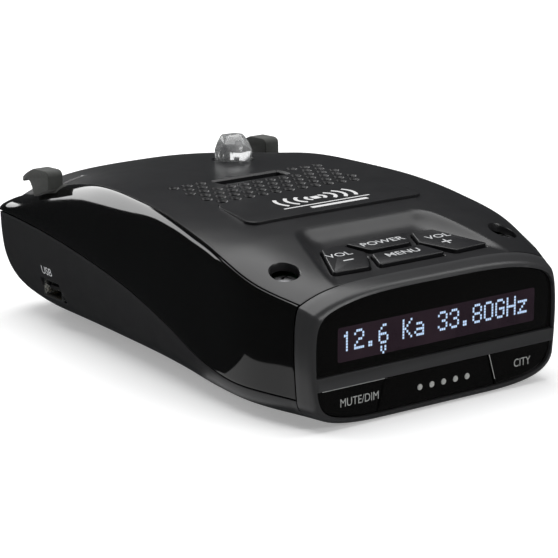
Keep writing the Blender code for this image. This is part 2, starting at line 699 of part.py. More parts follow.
def tact_switch(key, matrix, top, bottom):
    """A push switch: a body with a blind hole and the plunger that slides in it."""
    side = SWITCH_SIDE
    middle = matrix @ Matrix.Translation((0, 0, (top + bottom) / 2 * MM))
    body = box(f"{key}_switch", (side, side, top - bottom), middle, "tin")
    boolean(body, cylinder(f"{key}_bore", PLUNGER_HOLE, bottom + SWITCH_FLOOR, top + 2, matrix, sides=12))
    plunger_top = top + PLUNGER_PROUD
    cylinder(f"{key}_plunger", PLUNGER_RADIUS, plunger_top - PLUNGER_LENGTH, plunger_top,
             matrix, "black_plastic", sides=10)


def build_front_switches():
    for key, x in (("mute_dim", -FRONT_SWITCH_X), ("city", FRONT_SWITCH_X)):
        spot = facing_front(0) @ Matrix.Translation((x * MM, FRONT_SWITCH_Z * MM, 0))
        tact_switch(key, spot, FRONT_SWITCH_TOP, FRONT_SWITCH_BOTTOM)
    box("front_pcb", FRONT_BOARD_SIZE, place(0, FRONT_BOARD_STATION, FRONT_BOARD_Z), "board", 0.2)


# ---------------------------------------------------------------- keypad

def build_keypad():
    frame = bpy.data.objects.new("keypad_frame", None)
    frame.matrix_world = FLOOR
    PARTS.objects.link(frame)
    for key, (x, y) in SWITCH_SPOTS.items():
        outline = [(px - x, py - y) for px, py in rounded_outline(button_outline(key), 0.7)]
        spot = FLOOR @ Matrix.Translation((x * MM, y * MM, 0))
        button = plate(f"{key}_button", outline, BUTTON_LOW, BUTTON_HIGH, spot, "key")
        add_bevel(button, 0.2)
        tact_switch(key, spot, SWITCH_TOP, SWITCH_BOTTOM)
        for name in (f"{key}_button", f"{key}_plunger", f"{key}_switch"):
            piece = bpy.data.objects[name]
            world = piece.matrix_world.copy()
            piece.parent = frame
            piece.matrix_parent_inverse = FLOOR.inverted()
            piece.matrix_world = world
    board = FLOOR @ Matrix.Translation((0, KEYPAD_BOARD_Y * MM, KEYPAD_BOARD_Z * MM))
    box("keypad_pcb", KEYPAD_BOARD_SIZE, board, "board", 0.2)


# ---------------------------------------------------------------- top pieces

def build_badge_plate():
    badge = draped_slab("badge_plate", BADGE_FRONT, BADGE_REAR, BADGE_FRONT_X, BADGE_REAR_X,
                        -0.2, 0.7, 0.1, "satin")
    add_bevel(badge, 0.15)


def build_laser_sensor():
    lens_profile = ((0, 42.0), (2.4, 41.6), (4.1, 40.2), (4.7, 38.2), (LENS_RADIUS, 36.9),
                    (LENS_RADIUS, 33.5), (5.5, 33.5), (5.5, 32.4), (0, 32.4))
    spot = place(LENS_X, LENS_STATION, 0)
    turned("laser_lens", lens_profile, spot, "clear", steps=10)
    box("laser_sensor", SENSOR_SIZE, place(LENS_X, LENS_STATION, SENSOR_Z), "black_plastic", 0.3)
    box("laser_pcb", LASER_BOARD_SIZE, place(LENS_X, LENS_STATION, LASER_BOARD_Z), "board", 0.2)


def build_bumpers():
    """Soft lugs at the rear corners, each with a hooked tail."""
    profile = []
    for station, lift in ((95.4, 0.45), (99.4, 0.45), (103.4, 0.45)):
        profile.append((station, curve_value(EDGE_Z, station) + lift))
    profile += [(104.6, 32.4), (106.4, 32.2), (106.0, 34.0), (103.6, 35.4), (96.6, 35.9), (95.6, 35.2)]
    outline = [(s - LENGTH / 2, z) for s, z in profile]
    across = Matrix.Rotation(math.radians(90), 4, "Z") @ Matrix.Rotation(math.radians(90), 4, "X")
    for name, x in (("left_bumper", -BUMPER_X), ("right_bumper", BUMPER_X)):
        matrix = Matrix.Translation((x * MM, 0, 0)) @ across
        lug = plate(name, outline, -BUMPER_HALF, BUMPER_HALF, matrix, "rubber")
        add_bevel(lug, 0.3)


def build_screws():
    for side, x in (("left", -SCREW_X), ("right", SCREW_X)):
        spot = place(x, SCREW_STATION, 0)
        screw = turned(f"front_screw_{side}",
                       ((0, 28.6), (1.6, 28.5), (HEAD_RADIUS, 27.8), (HEAD_RADIUS, 26.9),
                        (SHANK_RADIUS, 26.9), (SHANK_RADIUS, 12.0), (0, 11.0)), spot, "steel", steps=12)
        drive_cut(screw, spot @ Matrix.Translation((0, 0, 28.6 * MM)))
    for side, x in (("left", -REAR_SCREW_X), ("right", REAR_SCREW_X)):
        spot = place(x, REAR_SCREW_STATION, 0) @ Matrix.Rotation(math.pi, 4, "X")
        screw = turned(f"rear_screw_{side}",
                       ((0, -3.0), (1.6, -3.1), (HEAD_RADIUS, -3.8), (HEAD_RADIUS, -4.9),
                        (SHANK_RADIUS, -4.9), (SHANK_RADIUS, -19.0), (0, -20.0)), spot, "steel", steps=12)
        drive_cut(screw, spot @ Matrix.Translation((0, 0, -3.0 * MM)))


def drive_cut(screw, matrix):
    """A crossed drive recess in a screw's head."""
    for name, size in (("a", (2.6, 0.6, 1.6)), ("b", (0.6, 2.6, 1.6))):
        boolean(screw, box(f"{screw.name}_drive_{name}", size, matrix))


# ---------------------------------------------------------------- inside

def build_boards():
    board = box("main_pcb", MAIN_BOARD_SIZE, place(0, MAIN_BOARD_STATION, MAIN_BOARD_Z), "board", 0.2)
    for x, station in BOARD_POSTS[:2]:
        boolean(board, cylinder("board_hole", 1.4, 5, 15, place(x, station, 0), sides=8))


def build_horn():
    """Flared horn, open at its mouth towards the rear."""
    def ring(station, half_x, half_z, centre_z=19.6):
        return [(x, station, z) for x, z in ((half_x, centre_z + half_z), (-half_x, centre_z + half_z),
                                            (-half_x, centre_z - half_z), (half_x, centre_z - half_z))]
    horn = hexahedron("horn_antenna", ring(67, 8.5, 5.0), ring(105, 17.5, 8.2), "cast_zinc")
    hollow = hexahedron("horn_cut", ring(71, 7.2, 3.6), ring(107, 16.7, 7.1))
    boolean(horn, hollow)


def build_shield():
    spot = place(0, SHIELD_STATION, SHIELD_Z)
    shield = box("rf_shield", SHIELD_SIZE, spot, "tin", 0.3)
    hollow = [side - 2 * SHEET for side in SHIELD_SIZE[:2]] + [SHIELD_SIZE[2]]
    boolean(shield, box("shield_cut", hollow, spot @ Matrix.Translation((0, 0, -SHEET * MM))))


def build_speaker():
    profile = ((0, 30.8), (3.5, 29.8), (10.8, 31.4), (11.5, 32.3), (12.8, 32.3), (12.8, 31.0),
               (8.0, 27.6), (8.0, 24.4), (0, 24.4))
    turned("speaker", profile, place(0, 47.3, 0), "cone_paper")


def build_bracket_socket():
    spot = place(0, (SLOT_FRONT + SLOT_REAR) / 2, (SOCKET_LOW + SOCKET_HIGH) / 2)
    high = SOCKET_HIGH - SOCKET_LOW
    socket = box("bracket_socket", (*SOCKET_OUTER, high), spot, "black_plastic")
    cavity = box("socket_cut", (*SOCKET_INNER, high), spot @ Matrix.Translation((0, 0, SOCKET_FLOOR * MM)))
    boolean(socket, cavity)


def build_sockets():
    usb = box("usb_port", (8.4, 7.7, 4.1), place(-26.9, USB_STATION, USB_Z), "tin", 0.3)
    for name, size, x, z in (("usb_top", (7.2, 6.9, 1.2), -28.6, USB_Z + 0.95),
                             ("usb_low", (7.2, 6.9, 1.2), -28.6, USB_Z - 0.95),
                             ("usb_end", (2.4, 6.9, 3.1), -31.1, USB_Z)):
        boolean(usb, box(name, size, place(x, USB_STATION, z)))
    sideways = Matrix.Rotation(math.radians(90), 4, "Y")
    for name, station, size, nose, bore in (
            ("power_jack", POWER_JACK_STATION, 8.6, 4.0, 3.15),
            ("earphone_jack", EARPHONE_STATION, 6.4, 2.9, 1.8)):
        jack = box(name, (8.0, size, size), place(23.4, station, JACK_Z), "black_plastic", 0.3)
        spot = place(0, station, JACK_Z) @ sideways
        boolean(jack, cylinder(f"{name}_nose", nose, 25, 32.0, spot), "UNION")
        boolean(jack, cylinder(f"{name}_bore", bore, 22, 35, spot))
    pin = cylinder("power_pin", 1.0, 20.5, 30, place(0, POWER_JACK_STATION, JACK_Z) @ sideways, sides=8)
    boolean(bpy.data.objects["power_jack"], pin, "UNION")


def build_ribbon():
    """Flat flex that joins the main board to the front board."""
    steps = 8
    path = ((21.0, 11.1), (15.0, 11.1), (15.0, 17.0), (10.8, 17.0))
    centre = [Vector(bezier(path, i / steps)) for i in range(steps + 1)]
    sides = []
    for i, point in enumerate(centre):
        along = (centre[min(i + 1, steps)] - centre[max(i - 1, 0)]).normalized()
        sides.append(Vector((-along.y, along.x)) * RIBBON_HALF_THICK)
    outline = [p + n for p, n in zip(centre, sides)] + [p - n for p, n in zip(centre, sides)][::-1]
    flat = [(p.x - LENGTH / 2, p.y) for p in outline]
    across = Matrix.Rotation(math.radians(90), 4, "Z") @ Matrix.Rotation(math.radians(90), 4, "X")
    plate("ribbon_cable", flat, -RIBBON_HALF_WIDTH, RIBBON_HALF_WIDTH, across, "flex")


loft("body_core", STATIONS, None, WALL / 2)
build_top_cover()
build_side_panels()
build_bottom_cover()
build_bezel()
build_display()
build_lower_panel()
build_front_switches()
build_keypad()
build_badge_plate()
build_laser_sensor()
build_bumpers()
build_screws()
build_boards()
build_horn()
build_shield()
build_speaker()
build_bracket_socket()
build_sockets()
build_ribbon()
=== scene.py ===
"""Looks of the dashboard radar detector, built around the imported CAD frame.

Lengths in the code are millimetres and become metres where a mesh is made. The
frame's origin is the centre of the base, the display faces -Y, and a "station"
is a distance from the front face towards the rear.
"""

import math

import bmesh
import bpy
import numpy as np
from mathutils import Matrix, Vector


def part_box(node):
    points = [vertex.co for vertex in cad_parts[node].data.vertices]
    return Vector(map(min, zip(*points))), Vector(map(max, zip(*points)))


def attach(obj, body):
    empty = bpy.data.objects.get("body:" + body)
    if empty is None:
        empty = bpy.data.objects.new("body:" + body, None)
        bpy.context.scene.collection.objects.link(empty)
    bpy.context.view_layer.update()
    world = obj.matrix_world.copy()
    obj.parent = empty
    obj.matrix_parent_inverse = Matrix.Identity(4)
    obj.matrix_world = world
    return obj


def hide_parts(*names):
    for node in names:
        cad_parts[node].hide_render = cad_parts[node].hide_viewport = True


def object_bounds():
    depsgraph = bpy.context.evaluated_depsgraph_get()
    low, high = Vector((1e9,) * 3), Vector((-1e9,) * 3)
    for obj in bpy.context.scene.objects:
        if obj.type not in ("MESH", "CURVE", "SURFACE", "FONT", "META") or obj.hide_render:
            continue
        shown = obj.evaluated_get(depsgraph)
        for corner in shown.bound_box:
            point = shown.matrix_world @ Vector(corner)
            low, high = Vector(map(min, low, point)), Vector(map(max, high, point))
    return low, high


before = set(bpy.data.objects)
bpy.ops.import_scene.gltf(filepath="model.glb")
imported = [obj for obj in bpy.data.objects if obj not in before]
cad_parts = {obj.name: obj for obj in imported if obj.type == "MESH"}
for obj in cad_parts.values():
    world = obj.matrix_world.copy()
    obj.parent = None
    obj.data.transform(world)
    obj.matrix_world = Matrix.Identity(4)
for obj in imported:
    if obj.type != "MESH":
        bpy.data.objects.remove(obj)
CAD_LOW, CAD_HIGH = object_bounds()

MM = 0.001
LENGTH = (CAD_HIGH.y - CAD_LOW.y) / MM
WALL, GAP, SEAM_HALF = 1.6, 0.3, 0.2
CENTRE_Z = 14.0

# Curves of the body along its length, as in the CAD: (station, value)
CROWN_Z = ((0, 27.5), (5, 28.35), (27, 33.9), (36, 35.1), (50, 36.0), (66, 36.3),
           (84, 36.0), (96, 34.95), (106, 33.1), (118, 29.8))
EDGE_X = ((0, 30.6), (3, 31.4), (9, 33.7), (17, 35.6), (35, 34.6), (60, 31.1),
          (88, 28.0), (112, 27.3), (118, 27.2))
EDGE_Z = ((0, 23.6), (3, 24.7), (15, 27.9), (23, 30.6), (35, 33.3), (48, 35.1),
          (62, 35.7), (80, 35.3), (95, 32.6), (112, 27.4), (118, 26.4))
PARTING_X = ((0, 31.9), (5, 32.9), (16, 35.6), (30, 36.3), (60, 35.6), (90, 34.0), (118, 32.8))
PARTING_Z = ((0, 6.0), (12, 6.2), (23, 6.7), (31, 8.4), (44, 13.3), (62, 18.3),
             (75, 20.5), (90, 22.4), (104, 23.6), (118, 24.2))
BASE_X = ((0, 14.0), (15, 16.0), (60, 15.0), (118, 13.0))
SHOULDER = ((0, 3.6), (13, 7.0), (27, 6.0), (45, 3.0), (70, 2.2), (90, 2.5), (118, 3.4))
FRONT_ROUND = 1.4
REAR_ROUND, REAR_SIDE_IN, REAR_TOP_IN = 7.0, 4.0, 3.4
REAR_BASE_ROUND, REAR_BASE_IN = 18.0, 6.0

# Front face
BEZEL_DEPTH, BEZEL_LIP = 4.4, 1.25
WINDOW_LOW_Z, PANEL_HIGH_Z = 11.0, 8.4
SPLIT_TOP_X, SPLIT_LOW_X, SPLIT_LOW_Z = 13.6, 15.4, 2.4
WINDOW_FRONT, WINDOW_THICK = 0.7, 1.7
PANEL_FRONT, PANEL_THICK, KEY_THICK = 0.55, 1.6, 2.4
LED_Z, LED_MIDDLE_X, LED_PITCH, LED_COUNT, LED_RADIUS = 4.6, 1.8, 3.15, 5, 0.66
LED_RISE, LEGEND_SIZE = 0.24, 2.45
CORNER_REACH, SOFT_STEP = 2.2, 0.5

# Display: pitch of the dots, how much of it a dot fills, and where the text starts
READING = "12.6 Ka 33.80GHz"
DOT_X, DOT_Z, DOT_FILL = 0.515, 0.585, 0.82
TEXT_LEFT, TEXT_TOP = -24.6, 19.45
ACTIVE_LOW, ACTIVE_HIGH = (-25.6, 13.3), (26.4, 20.4)

# Keypad, in a frame that lies on the sloping floor of the recess
FLOOR_STATION, FLOOR_Z, FLOOR_SLOPE = 14.0, 29.2, 0.145
BUTTON_HIGH, BUTTON_LOW = 0.8, -2.6
VOLUME_OUTLINE = ((9.4, 6.4), (14.6, 6.1), (20.3, -5.2), (11.3, -5.6), (7.05, 0.9))
BUTTONS = {"vol_down": [(-x, y) for x, y in reversed(VOLUME_OUTLINE)],
           "power": [(-8.0, 6.7), (8.0, 6.7), (5.3, 1.7), (-5.3, 1.7)],
           "menu": [(-6.4, 0.0), (6.4, 0.0), (8.6, -5.5), (-8.6, -5.5)],
           "vol_up": list(VOLUME_OUTLINE)}
RECESS_FOOT = (15.0, 23.0)
RECESS_MOUTH = (24.4, 3.0)
RECESS_REAR_RISE, RECESS_SIDE_RISE = 0.80, 0.95
RECESS_FILLET, RECESS_CREST, RECESS_END = 1.5, 0.6, 34.0

# Top cover features
GRILLE_PITCH, GRILLE_ROWS, GRILLE_COLUMNS, GRILLE_STATION, GRILLE_HOLE = 3.54, 8, 12, 65.1, 0.96
SLOT_HALF, SLOT_FRONT, SLOT_REAR = 9.0, 61.5, 65.7
BADGE_FRONT, BADGE_REAR, BADGE_FRONT_X, BADGE_REAR_X = 32.2, 48.0, 23.5, 21.0
MARK_STATION, MARK_THICK = 40.6, 0.03
BADGE_CORNER, BADGE_LIFT, BADGE_FALL, BADGE_SINK = 3.0, 0.62, 0.45, -0.3
LUG_GROOVE = (99.5, 21.0, 29.0, 0.9, 0.8)
WELL_RADIUS, WELL_FLOOR, HEAD_RADIUS = 3.05, 26.6, 2.7
GRILLE_FLARE, GRILLE_MARGIN = 0.4, (2.4, 2.2)

# Steps of the sections: top cover, side panel and bottom cover
TOP_STEPS, SIDE_STEPS, BASE_STEPS = 100, 36, 40
FACE_STEPS = (36, 16, 22)
CAP_STEPS = 8
TOP_CAP_HALF, BASE_CAP_HALF, BASE_CAP_EASE = 21.0, 27.0, 0.8


def station_list():
    """Sections of the lofts: close together at the recess and the rounded rear."""
    front = np.arange(BEZEL_DEPTH + GAP, 31, 0.35)
    middle = np.arange(31, 106, 1.2)
    rear = np.arange(106, LENGTH - 0.1, 0.5)
    last = [LENGTH - 0.1, LENGTH - 0.02, LENGTH]
    return [float(s) for s in (*front, *middle, *rear, *last)]


# ---- outlines

def curve_value(points, station):
    """A smooth curve through a few (station, value) points."""
    last = len(points) - 1
    slopes = [(b[1] - a[1]) / (b[0] - a[0]) for a, b in zip(points, points[1:])]
    i = max([k for k in range(last) if points[k][0] <= station] or [0])

    def tangent(k):
        if k in (0, last):
            return slopes[min(k, last - 1)]
        before = points[k][0] - points[k - 1][0]
        after = points[k + 1][0] - points[k][0]
        return (slopes[k - 1] * after + slopes[k] * before) / (before + after)

    step = points[i + 1][0] - points[i][0]
    t = (station - points[i][0]) / step
    if t > 1:
        return points[last][1] + slopes[-1] * (station - points[last][0])
    start, end = points[i][1], points[i + 1][1]
    return (start * (2 * t**3 - 3 * t**2 + 1) + end * (3 * t**2 - 2 * t**3)
            + step * (tangent(i) * (t**3 - 2 * t**2 + t) + tangent(i + 1) * (t**3 - t**2)))


def bezier(points, t):
    weights = ((1 - t)**3, 3 * t * (1 - t)**2, 3 * t * t * (1 - t), t**3)
    return tuple(sum(w * p[axis] for w, p in zip(weights, points)) for axis in (0, 1))


def cover_profile(station):
    """The top cover's section at a station, as a function of the distance from its middle."""
    crown = curve_value(CROWN_Z, station)
    drop = crown - curve_value(EDGE_Z, station)
    edge = curve_value(EDGE_X, station)
    power = curve_value(SHOULDER, station)
    return lambda x: crown - drop * (abs(x) / edge) ** power


def cover_height(x, station):
    return cover_profile(station)(x)


def arc_inset(distance, radius):
    run = max(0.0, 1 - distance / radius)
    return 1 - math.sqrt(max(0.0, 1 - run * run))


def pulled_in(points, side, top, base):
    """The outline brought in by side, top and base amounts about the body's middle."""
    widest = max(x for x, z in points)
    highest = max(z for x, z in points)
    high_scale = (highest - top - CENTRE_Z) / (highest - CENTRE_Z)
    low_scale = (CENTRE_Z - base) / CENTRE_Z
    return [(x * (widest - side) / widest,
             CENTRE_Z + (z - CENTRE_Z) * (high_scale if z > CENTRE_Z else low_scale))
            for x, z in points]


def half_outline(station, steps=(TOP_STEPS, SIDE_STEPS, BASE_STEPS)):
    """The right half of the body's section, from the top centre to the edge of the flat base."""
    top_steps, side_steps, base_steps = steps
    edge = (curve_value(EDGE_X, station), curve_value(EDGE_Z, station))
    parting = (curve_value(PARTING_X, station), curve_value(PARTING_Z, station))
    height = cover_profile(station)
    across = [edge[0] * math.sin(math.pi / 2 * i / top_steps) ** 0.9 for i in range(top_steps + 1)]
    points = [(x, height(x)) for x in across]
    bulge = max(parting[0], edge[0]) + 1.2
    side = (edge, (edge[0] + 1.5, edge[1] - 0.1),
            (bulge, edge[1] - 0.35 * (edge[1] - parting[1])), parting)
    points += [bezier(side, (i + 1) / side_steps) for i in range(side_steps)]
    belly = (parting, (parting[0] - 0.3, parting[1] * 0.36), (parting[0] * 0.86, 0),
             (curve_value(BASE_X, station), 0))
    points += [bezier(belly, (i + 1) / base_steps) for i in range(base_steps)]
    front = FRONT_ROUND * arc_inset(station, FRONT_ROUND)
    points = pulled_in(points, front, front, front)
    rear = arc_inset(LENGTH - station, REAR_ROUND)
    base = arc_inset(LENGTH - station, REAR_BASE_ROUND)
    return pulled_in(points, REAR_SIDE_IN * rear, REAR_TOP_IN * rear, REAR_BASE_IN * base)


def full_outline(station, steps):
    half = half_outline(station, steps)
    return half + [(-x, z) for x, z in half[:0:-1]]


def offset(outline, distance):
    """A closed outline with each side moved out by distance, or in when it is negative."""
    area = sum(a[0] * b[1] - b[0] * a[1] for a, b in zip(outline, outline[1:] + outline[:1]))
    turn = 1 if area > 0 else -1
    moved = []
    for i, here in enumerate(outline):
        before = Vector(here) - Vector(outline[i - 1])
        after = Vector(outline[(i + 1) % len(outline)]) - Vector(here)
        first = Vector((before.y, -before.x)).normalized() * turn
        second = Vector((after.y, -after.x)).normalized() * turn
        mitre = (first + second).normalized()
        moved.append(tuple(Vector(here) + mitre * distance / max(0.5, mitre.dot(first))))
    clear = abs(distance) * 0.995
    return [p for p in moved if min(math.dist(p, q) for q in outline) >= clear]


def clipped(outline, a, b, limit):
    """The part of a convex outline where a*x + b*y <= limit."""
    kept = []
    for p, q in zip(outline, outline[1:] + outline[:1]):
        over_p = a * p[0] + b * p[1] - limit
        over_q = a * q[0] + b * q[1] - limit
        if over_p <= 0:
            kept.append(p)
        if over_p * over_q < 0:
            t = over_p / (over_p - over_q)
            kept.append((p[0] + t * (q[0] - p[0]), p[1] + t * (q[1] - p[1])))
    return kept


def rounded(outline, radius, steps=6, sharpest=None):
    """A polygon with its corners replaced by arcs. sharpest keeps corners flatter than that angle."""
    points = []
    for i, corner in enumerate(outline):
        corner = Vector(corner)
        back = Vector(outline[i - 1]) - corner
        ahead = Vector(outline[(i + 1) % len(outline)]) - corner
        if sharpest and math.degrees(back.angle(ahead)) > sharpest:
            points.append(tuple(corner))
            continue
        reach = min(radius, back.length / 2, ahead.length / 2)
        back, ahead = back.normalized() * reach, ahead.normalized() * reach
        for k in range(steps + 1):
            t = k / steps
            points.append(tuple(corner + back * (1 - t) ** 2 + ahead * t * t))
    return [p for i, p in enumerate(points) if math.dist(p, points[i - 1]) > 0.01]


def softened(outline, reach):
    """A closed outline sampled evenly, with its corners eased over the reach to each side."""
    loop = np.array([*outline, outline[0]])
    run = np.concatenate([[0], np.cumsum(np.hypot(*np.diff(loop, axis=0).T))])
    spots = np.linspace(0, run[-1], round(run[-1] / SOFT_STEP), endpoint=False)
    even = np.stack([np.interp(spots, run, loop[:, k]) for k in (0, 1)], axis=1)
    span = max(1, round(reach / SOFT_STEP))
    for _ in range(2):
        even = sum(np.roll(even, k, axis=0) for k in range(-span, span + 1)) / (2 * span + 1)
    return [(float(x), float(y)) for x, y in even]


# ---- materials

def constant(node, **values):
    """Sets a node's values that are the same all over a surface."""
    for name, value in values.items():
        node.inputs[name.replace("_", " ")].default_value = value


class Surface:
    """A material with object-space coordinates in millimetres to build textures from."""

    def __init__(self, name, **values):
        self.material = bpy.data.materials.new(name)
        self.material.use_nodes = True
        self.tree = self.material.node_tree
        self.shader = self.tree.nodes["Principled BSDF"]
        constant(self.shader, **values)
        self.place = self.node("TexCoord").outputs["Object"]

    def link(self, source, target):
        self.tree.links.new(source, target)

    def node(self, kind, source=None, socket="Vector", **values):
        """A new node with its values set, fed at one socket by a source."""
        node = self.tree.nodes.new("ShaderNode" + kind)
        constant(node, **values)
        if source is not None:
            self.link(source, node.inputs[socket])
        return node

    def stretched(self, scale):
        return self.node("Mapping", self.place, Scale=scale).outputs["Vector"]

    def noise(self, size, detail=3.0, roughness=0.5, vector=None):
        """Noise whose blobs are about size millimetres across."""
        return self.node("TexNoise", vector or self.place, Scale=1 / (size * MM), Detail=detail,
                         Roughness=roughness).outputs["Fac"]

    def mottled(self, size, colour, low, high, detail=3.0):
        """A colour between low and high times its value."""
        return self.mixed(self.noise(size, detail), shade(colour, low), shade(colour, high))

    def edges(self):
        return self.node("NewGeometry").outputs["Pointiness"]

    def waves(self, pitch, scale):
        """Stripes of a pitch in millimetres, across the axes whose scale isn't 0."""
        wave = self.node("TexWave", self.stretched(scale), Scale=1 / (pitch * MM) * 0.05)
        return wave.outputs["Fac"]

    def spread(self, value, low, high, start=0.3, end=0.7):
        """Maps the range start to end of a value onto low to high."""
        return self.node("MapRange", value, "Value", From_Min=start, From_Max=end,
                         To_Min=low, To_Max=high).outputs["Result"]

    def mixed(self, factor, low, high):
        node = self.tree.nodes.new("ShaderNodeMix")
        node.data_type = "RGBA"
        for socket, colour in ((node.inputs["A"], low), (node.inputs["B"], high)):
            if isinstance(colour, tuple):
                socket.default_value = (*colour, 1)
            else:
                self.link(colour, socket)
        self.link(factor, node.inputs["Factor"])
        return node.outputs["Result"]

    def bump(self, height, depth, strength=1.0):
        """A normal from a height, with a depth in millimetres."""
        return self.node("Bump", height, "Height", Distance=depth * MM, Strength=strength).outputs["Normal"]

    def finish(self, colour, roughness, normal=None):
        self.link(colour, self.shader.inputs["Base Color"])
        self.link(roughness, self.shader.inputs["Roughness"])
        if normal is not None:
            self.link(normal, self.shader.inputs["Normal"])
        return self.material


def shade(colour, factor):
    return tuple(min(1.0, c * factor) for c in colour)


def moulded_plastic(name, colour, roughness, grain=0.22, depth=0.004):
    """Injection-moulded plastic with a spark-eroded grain, slight mottling, and convex edges lightened as
    rubbed wear and as a painted edge highlight.
    """
    s = Surface(name, Specular_IOR_Level=0.42)
    mottle = s.mottled(14, colour, 0.88, 1.12, 4)
    # convex edges lightened from pointiness: partly rubbed wear, partly painted edge highlight
    tone = s.mixed(s.spread(s.edges(), 0.0, 0.45, 0.52, 0.62), mottle, shade(colour, 2.2))
    fine = s.noise(grain, 2, 0.6)
    gloss = s.spread(s.noise(5, 5), roughness * 0.93, roughness * 1.07)
    return s.finish(tone, gloss, s.bump(fine, depth, 0.6))


def polished_plastic(name, colour, roughness):
    """Piano-finish plastic with a faint ripple and fine hairlines in its gloss."""
    s = Surface(name)
    tone = s.mottled(20, colour, 0.8, 1.2)
    hairlines = s.noise(0.35, 6, 0.7, s.stretched((1, 0.06, 1)))
    worn = s.spread(hairlines, roughness * 0.8, roughness * 1.5, 0.35, 0.75)
    ripple = s.bump(s.noise(9, 1), 0.003, 0.4)
    return s.finish(tone, worn, ripple)


def painted_legend(name, colour):
    """Screen-printed ink with slightly uneven cover."""
    s = Surface(name)
    tone = s.mottled(0.4, colour, 0.86, 1.0)
    return s.finish(tone, s.spread(s.noise(0.2, 2), 0.4, 0.6), s.bump(s.noise(0.15, 2), 0.006, 0.5))


def glowing(name, colour, strength):
    """A lit display element, a little brighter in places than in others."""
    s = Surface(name, Emission_Strength=strength)
    tone = s.mottled(1.5, colour, 0.9, 1.0, 2)
    s.link(tone, s.shader.inputs["Emission Color"])
    dark = s.mottled(1.0, colour, 0.225, 0.25)
    return s.finish(dark, s.spread(s.noise(1.0), 0.3, 0.4))


def display_backing(name):
    """The unlit display behind its smoked cover: a dark plum tint with faint rows of cells."""
    s = Surface(name)
    tone = s.mixed(s.noise(9, 2), (0.016, 0.009, 0.015), (0.034, 0.020, 0.027))
    rows = s.spread(s.waves(DOT_Z, (20, 1, 20)), 0, 0.25, 0.4, 1.0)
    tone = s.mixed(rows, tone, (0.012, 0.008, 0.012))
    return s.finish(tone, s.spread(s.noise(3), 0.12, 0.2))


def rubber(name, colour):
    s = Surface(name, Sheen_Weight=0.15)
    tone = s.mottled(2.0, colour, 0.75, 1.25, 5)
    # convex edges lightened from pointiness: partly rubbed wear, partly painted edge highlight
    tone = s.mixed(s.spread(s.edges(), 0, 0.5, 0.52, 0.65), tone, shade(colour, 2.0))
    rough = s.bump(s.noise(0.18, 4, 0.7), 0.02, 0.7)
    return s.finish(tone, s.spread(s.noise(1), 0.6, 0.85), rough)


def crystal(name):
    """Clear moulded polycarbonate with faint haze inside."""
    s = Surface(name, Transmission_Weight=0.8, IOR=1.52, Specular_IOR_Level=0.6)
    tone = s.mixed(s.noise(2.5, 2), (0.90, 0.92, 0.92), (1.0, 1.0, 1.0))
    return s.finish(tone, s.spread(s.noise(1.2, 3), 0.02, 0.09), s.bump(s.noise(0.8), 0.01, 0.4))


def brushed_metal(name, colour, roughness):
    s = Surface(name, Metallic=1.0)
    streaks = s.noise(0.5, 5, 0.7, s.stretched((1, 12, 1)))
    tone = s.mixed(streaks, shade(colour, 0.82), shade(colour, 1.12))
    return s.finish(tone, s.spread(streaks, roughness * 0.7, roughness * 1.3), s.bump(streaks, 0.004, 0.6))


def cast_metal(name, colour):
    s = Surface(name, Metallic=1.0)
    pits = s.noise(0.6, 6, 0.65)
    tone = s.mottled(4, colour, 0.75, 1.1, 4)
    return s.finish(tone, s.spread(pits, 0.4, 0.65), s.bump(pits, 0.05, 0.8))


def circuit_board(name, colour):
    """Solder mask over a pattern of copper tracks and pads."""
    s = Surface(name)
    tracks = s.node("TexBrick", s.place, Scale=220, Mortar_Size=0.05, Color1=(*shade(colour, 0.85), 1),
                    Color2=(*shade(colour, 1.1), 1), Mortar=(*shade(colour, 1.9), 1))
    cells = s.node("TexVoronoi", s.place, Scale=1 / (2.6 * MM)).outputs["Distance"]
    pads = s.spread(cells, 1.0, 0.0, 0.12, 0.16)
    tone = s.mixed(pads, tracks.outputs["Color"], (0.55, 0.42, 0.16))
    height = s.spread(tracks.outputs["Fac"], 0, 1, 0, 1)
    return s.finish(tone, s.spread(s.noise(2), 0.35, 0.5), s.bump(height, 0.03, 0.6))


def flex_cable(name):
    """Amber film over parallel copper strips that run along the cable."""
    s = Surface(name)
    strips = s.waves(1.0, (20, 0, 0))
    tone = s.mixed(strips, (0.30, 0.15, 0.04), (0.62, 0.34, 0.12))
    return s.finish(tone, s.spread(s.noise(2), 0.3, 0.45), s.bump(strips, 0.03, 0.6))


def paper_cone(name):
    s = Surface(name)
    fibres = s.noise(0.4, 6, 0.75)
    tone = s.mixed(fibres, (0.02, 0.02, 0.02), (0.075, 0.072, 0.068))
    return s.finish(tone, s.spread(fibres, 0.75, 0.95), s.bump(fibres, 0.05, 0.8))


FLOOR_GLOW = 0.35


def floor_paper(name):
    s = Surface(name, Emission_Strength=FLOOR_GLOW)
    tone = s.mixed(s.noise(60, 3), (0.86, 0.86, 0.86), (0.90, 0.90, 0.90))
    s.link(tone, s.shader.inputs["Emission Color"])
    return s.finish(tone, s.spread(s.noise(5), 0.9, 1.0))


SATIN = moulded_plastic("satin_plastic", (0.014, 0.014, 0.015), 0.31)
BASE_SATIN = moulded_plastic("base_plastic", (0.022, 0.022, 0.023), 0.42)
GLOSS = polished_plastic("piano_plastic", (0.0025, 0.0025, 0.0024), 0.05)
BEZEL = moulded_plastic("bezel_plastic", (0.030, 0.030, 0.031), 0.32, depth=0.003)
KEY = moulded_plastic("key_plastic", (0.007, 0.007, 0.008), 0.34)
WINDOW = polished_plastic("smoked_window", (0.0030, 0.0028, 0.0026), 0.04)
INK = painted_legend("legend_ink", (0.62, 0.63, 0.64))
MARK_INK = painted_legend("mark_ink", (0.80, 0.80, 0.80))
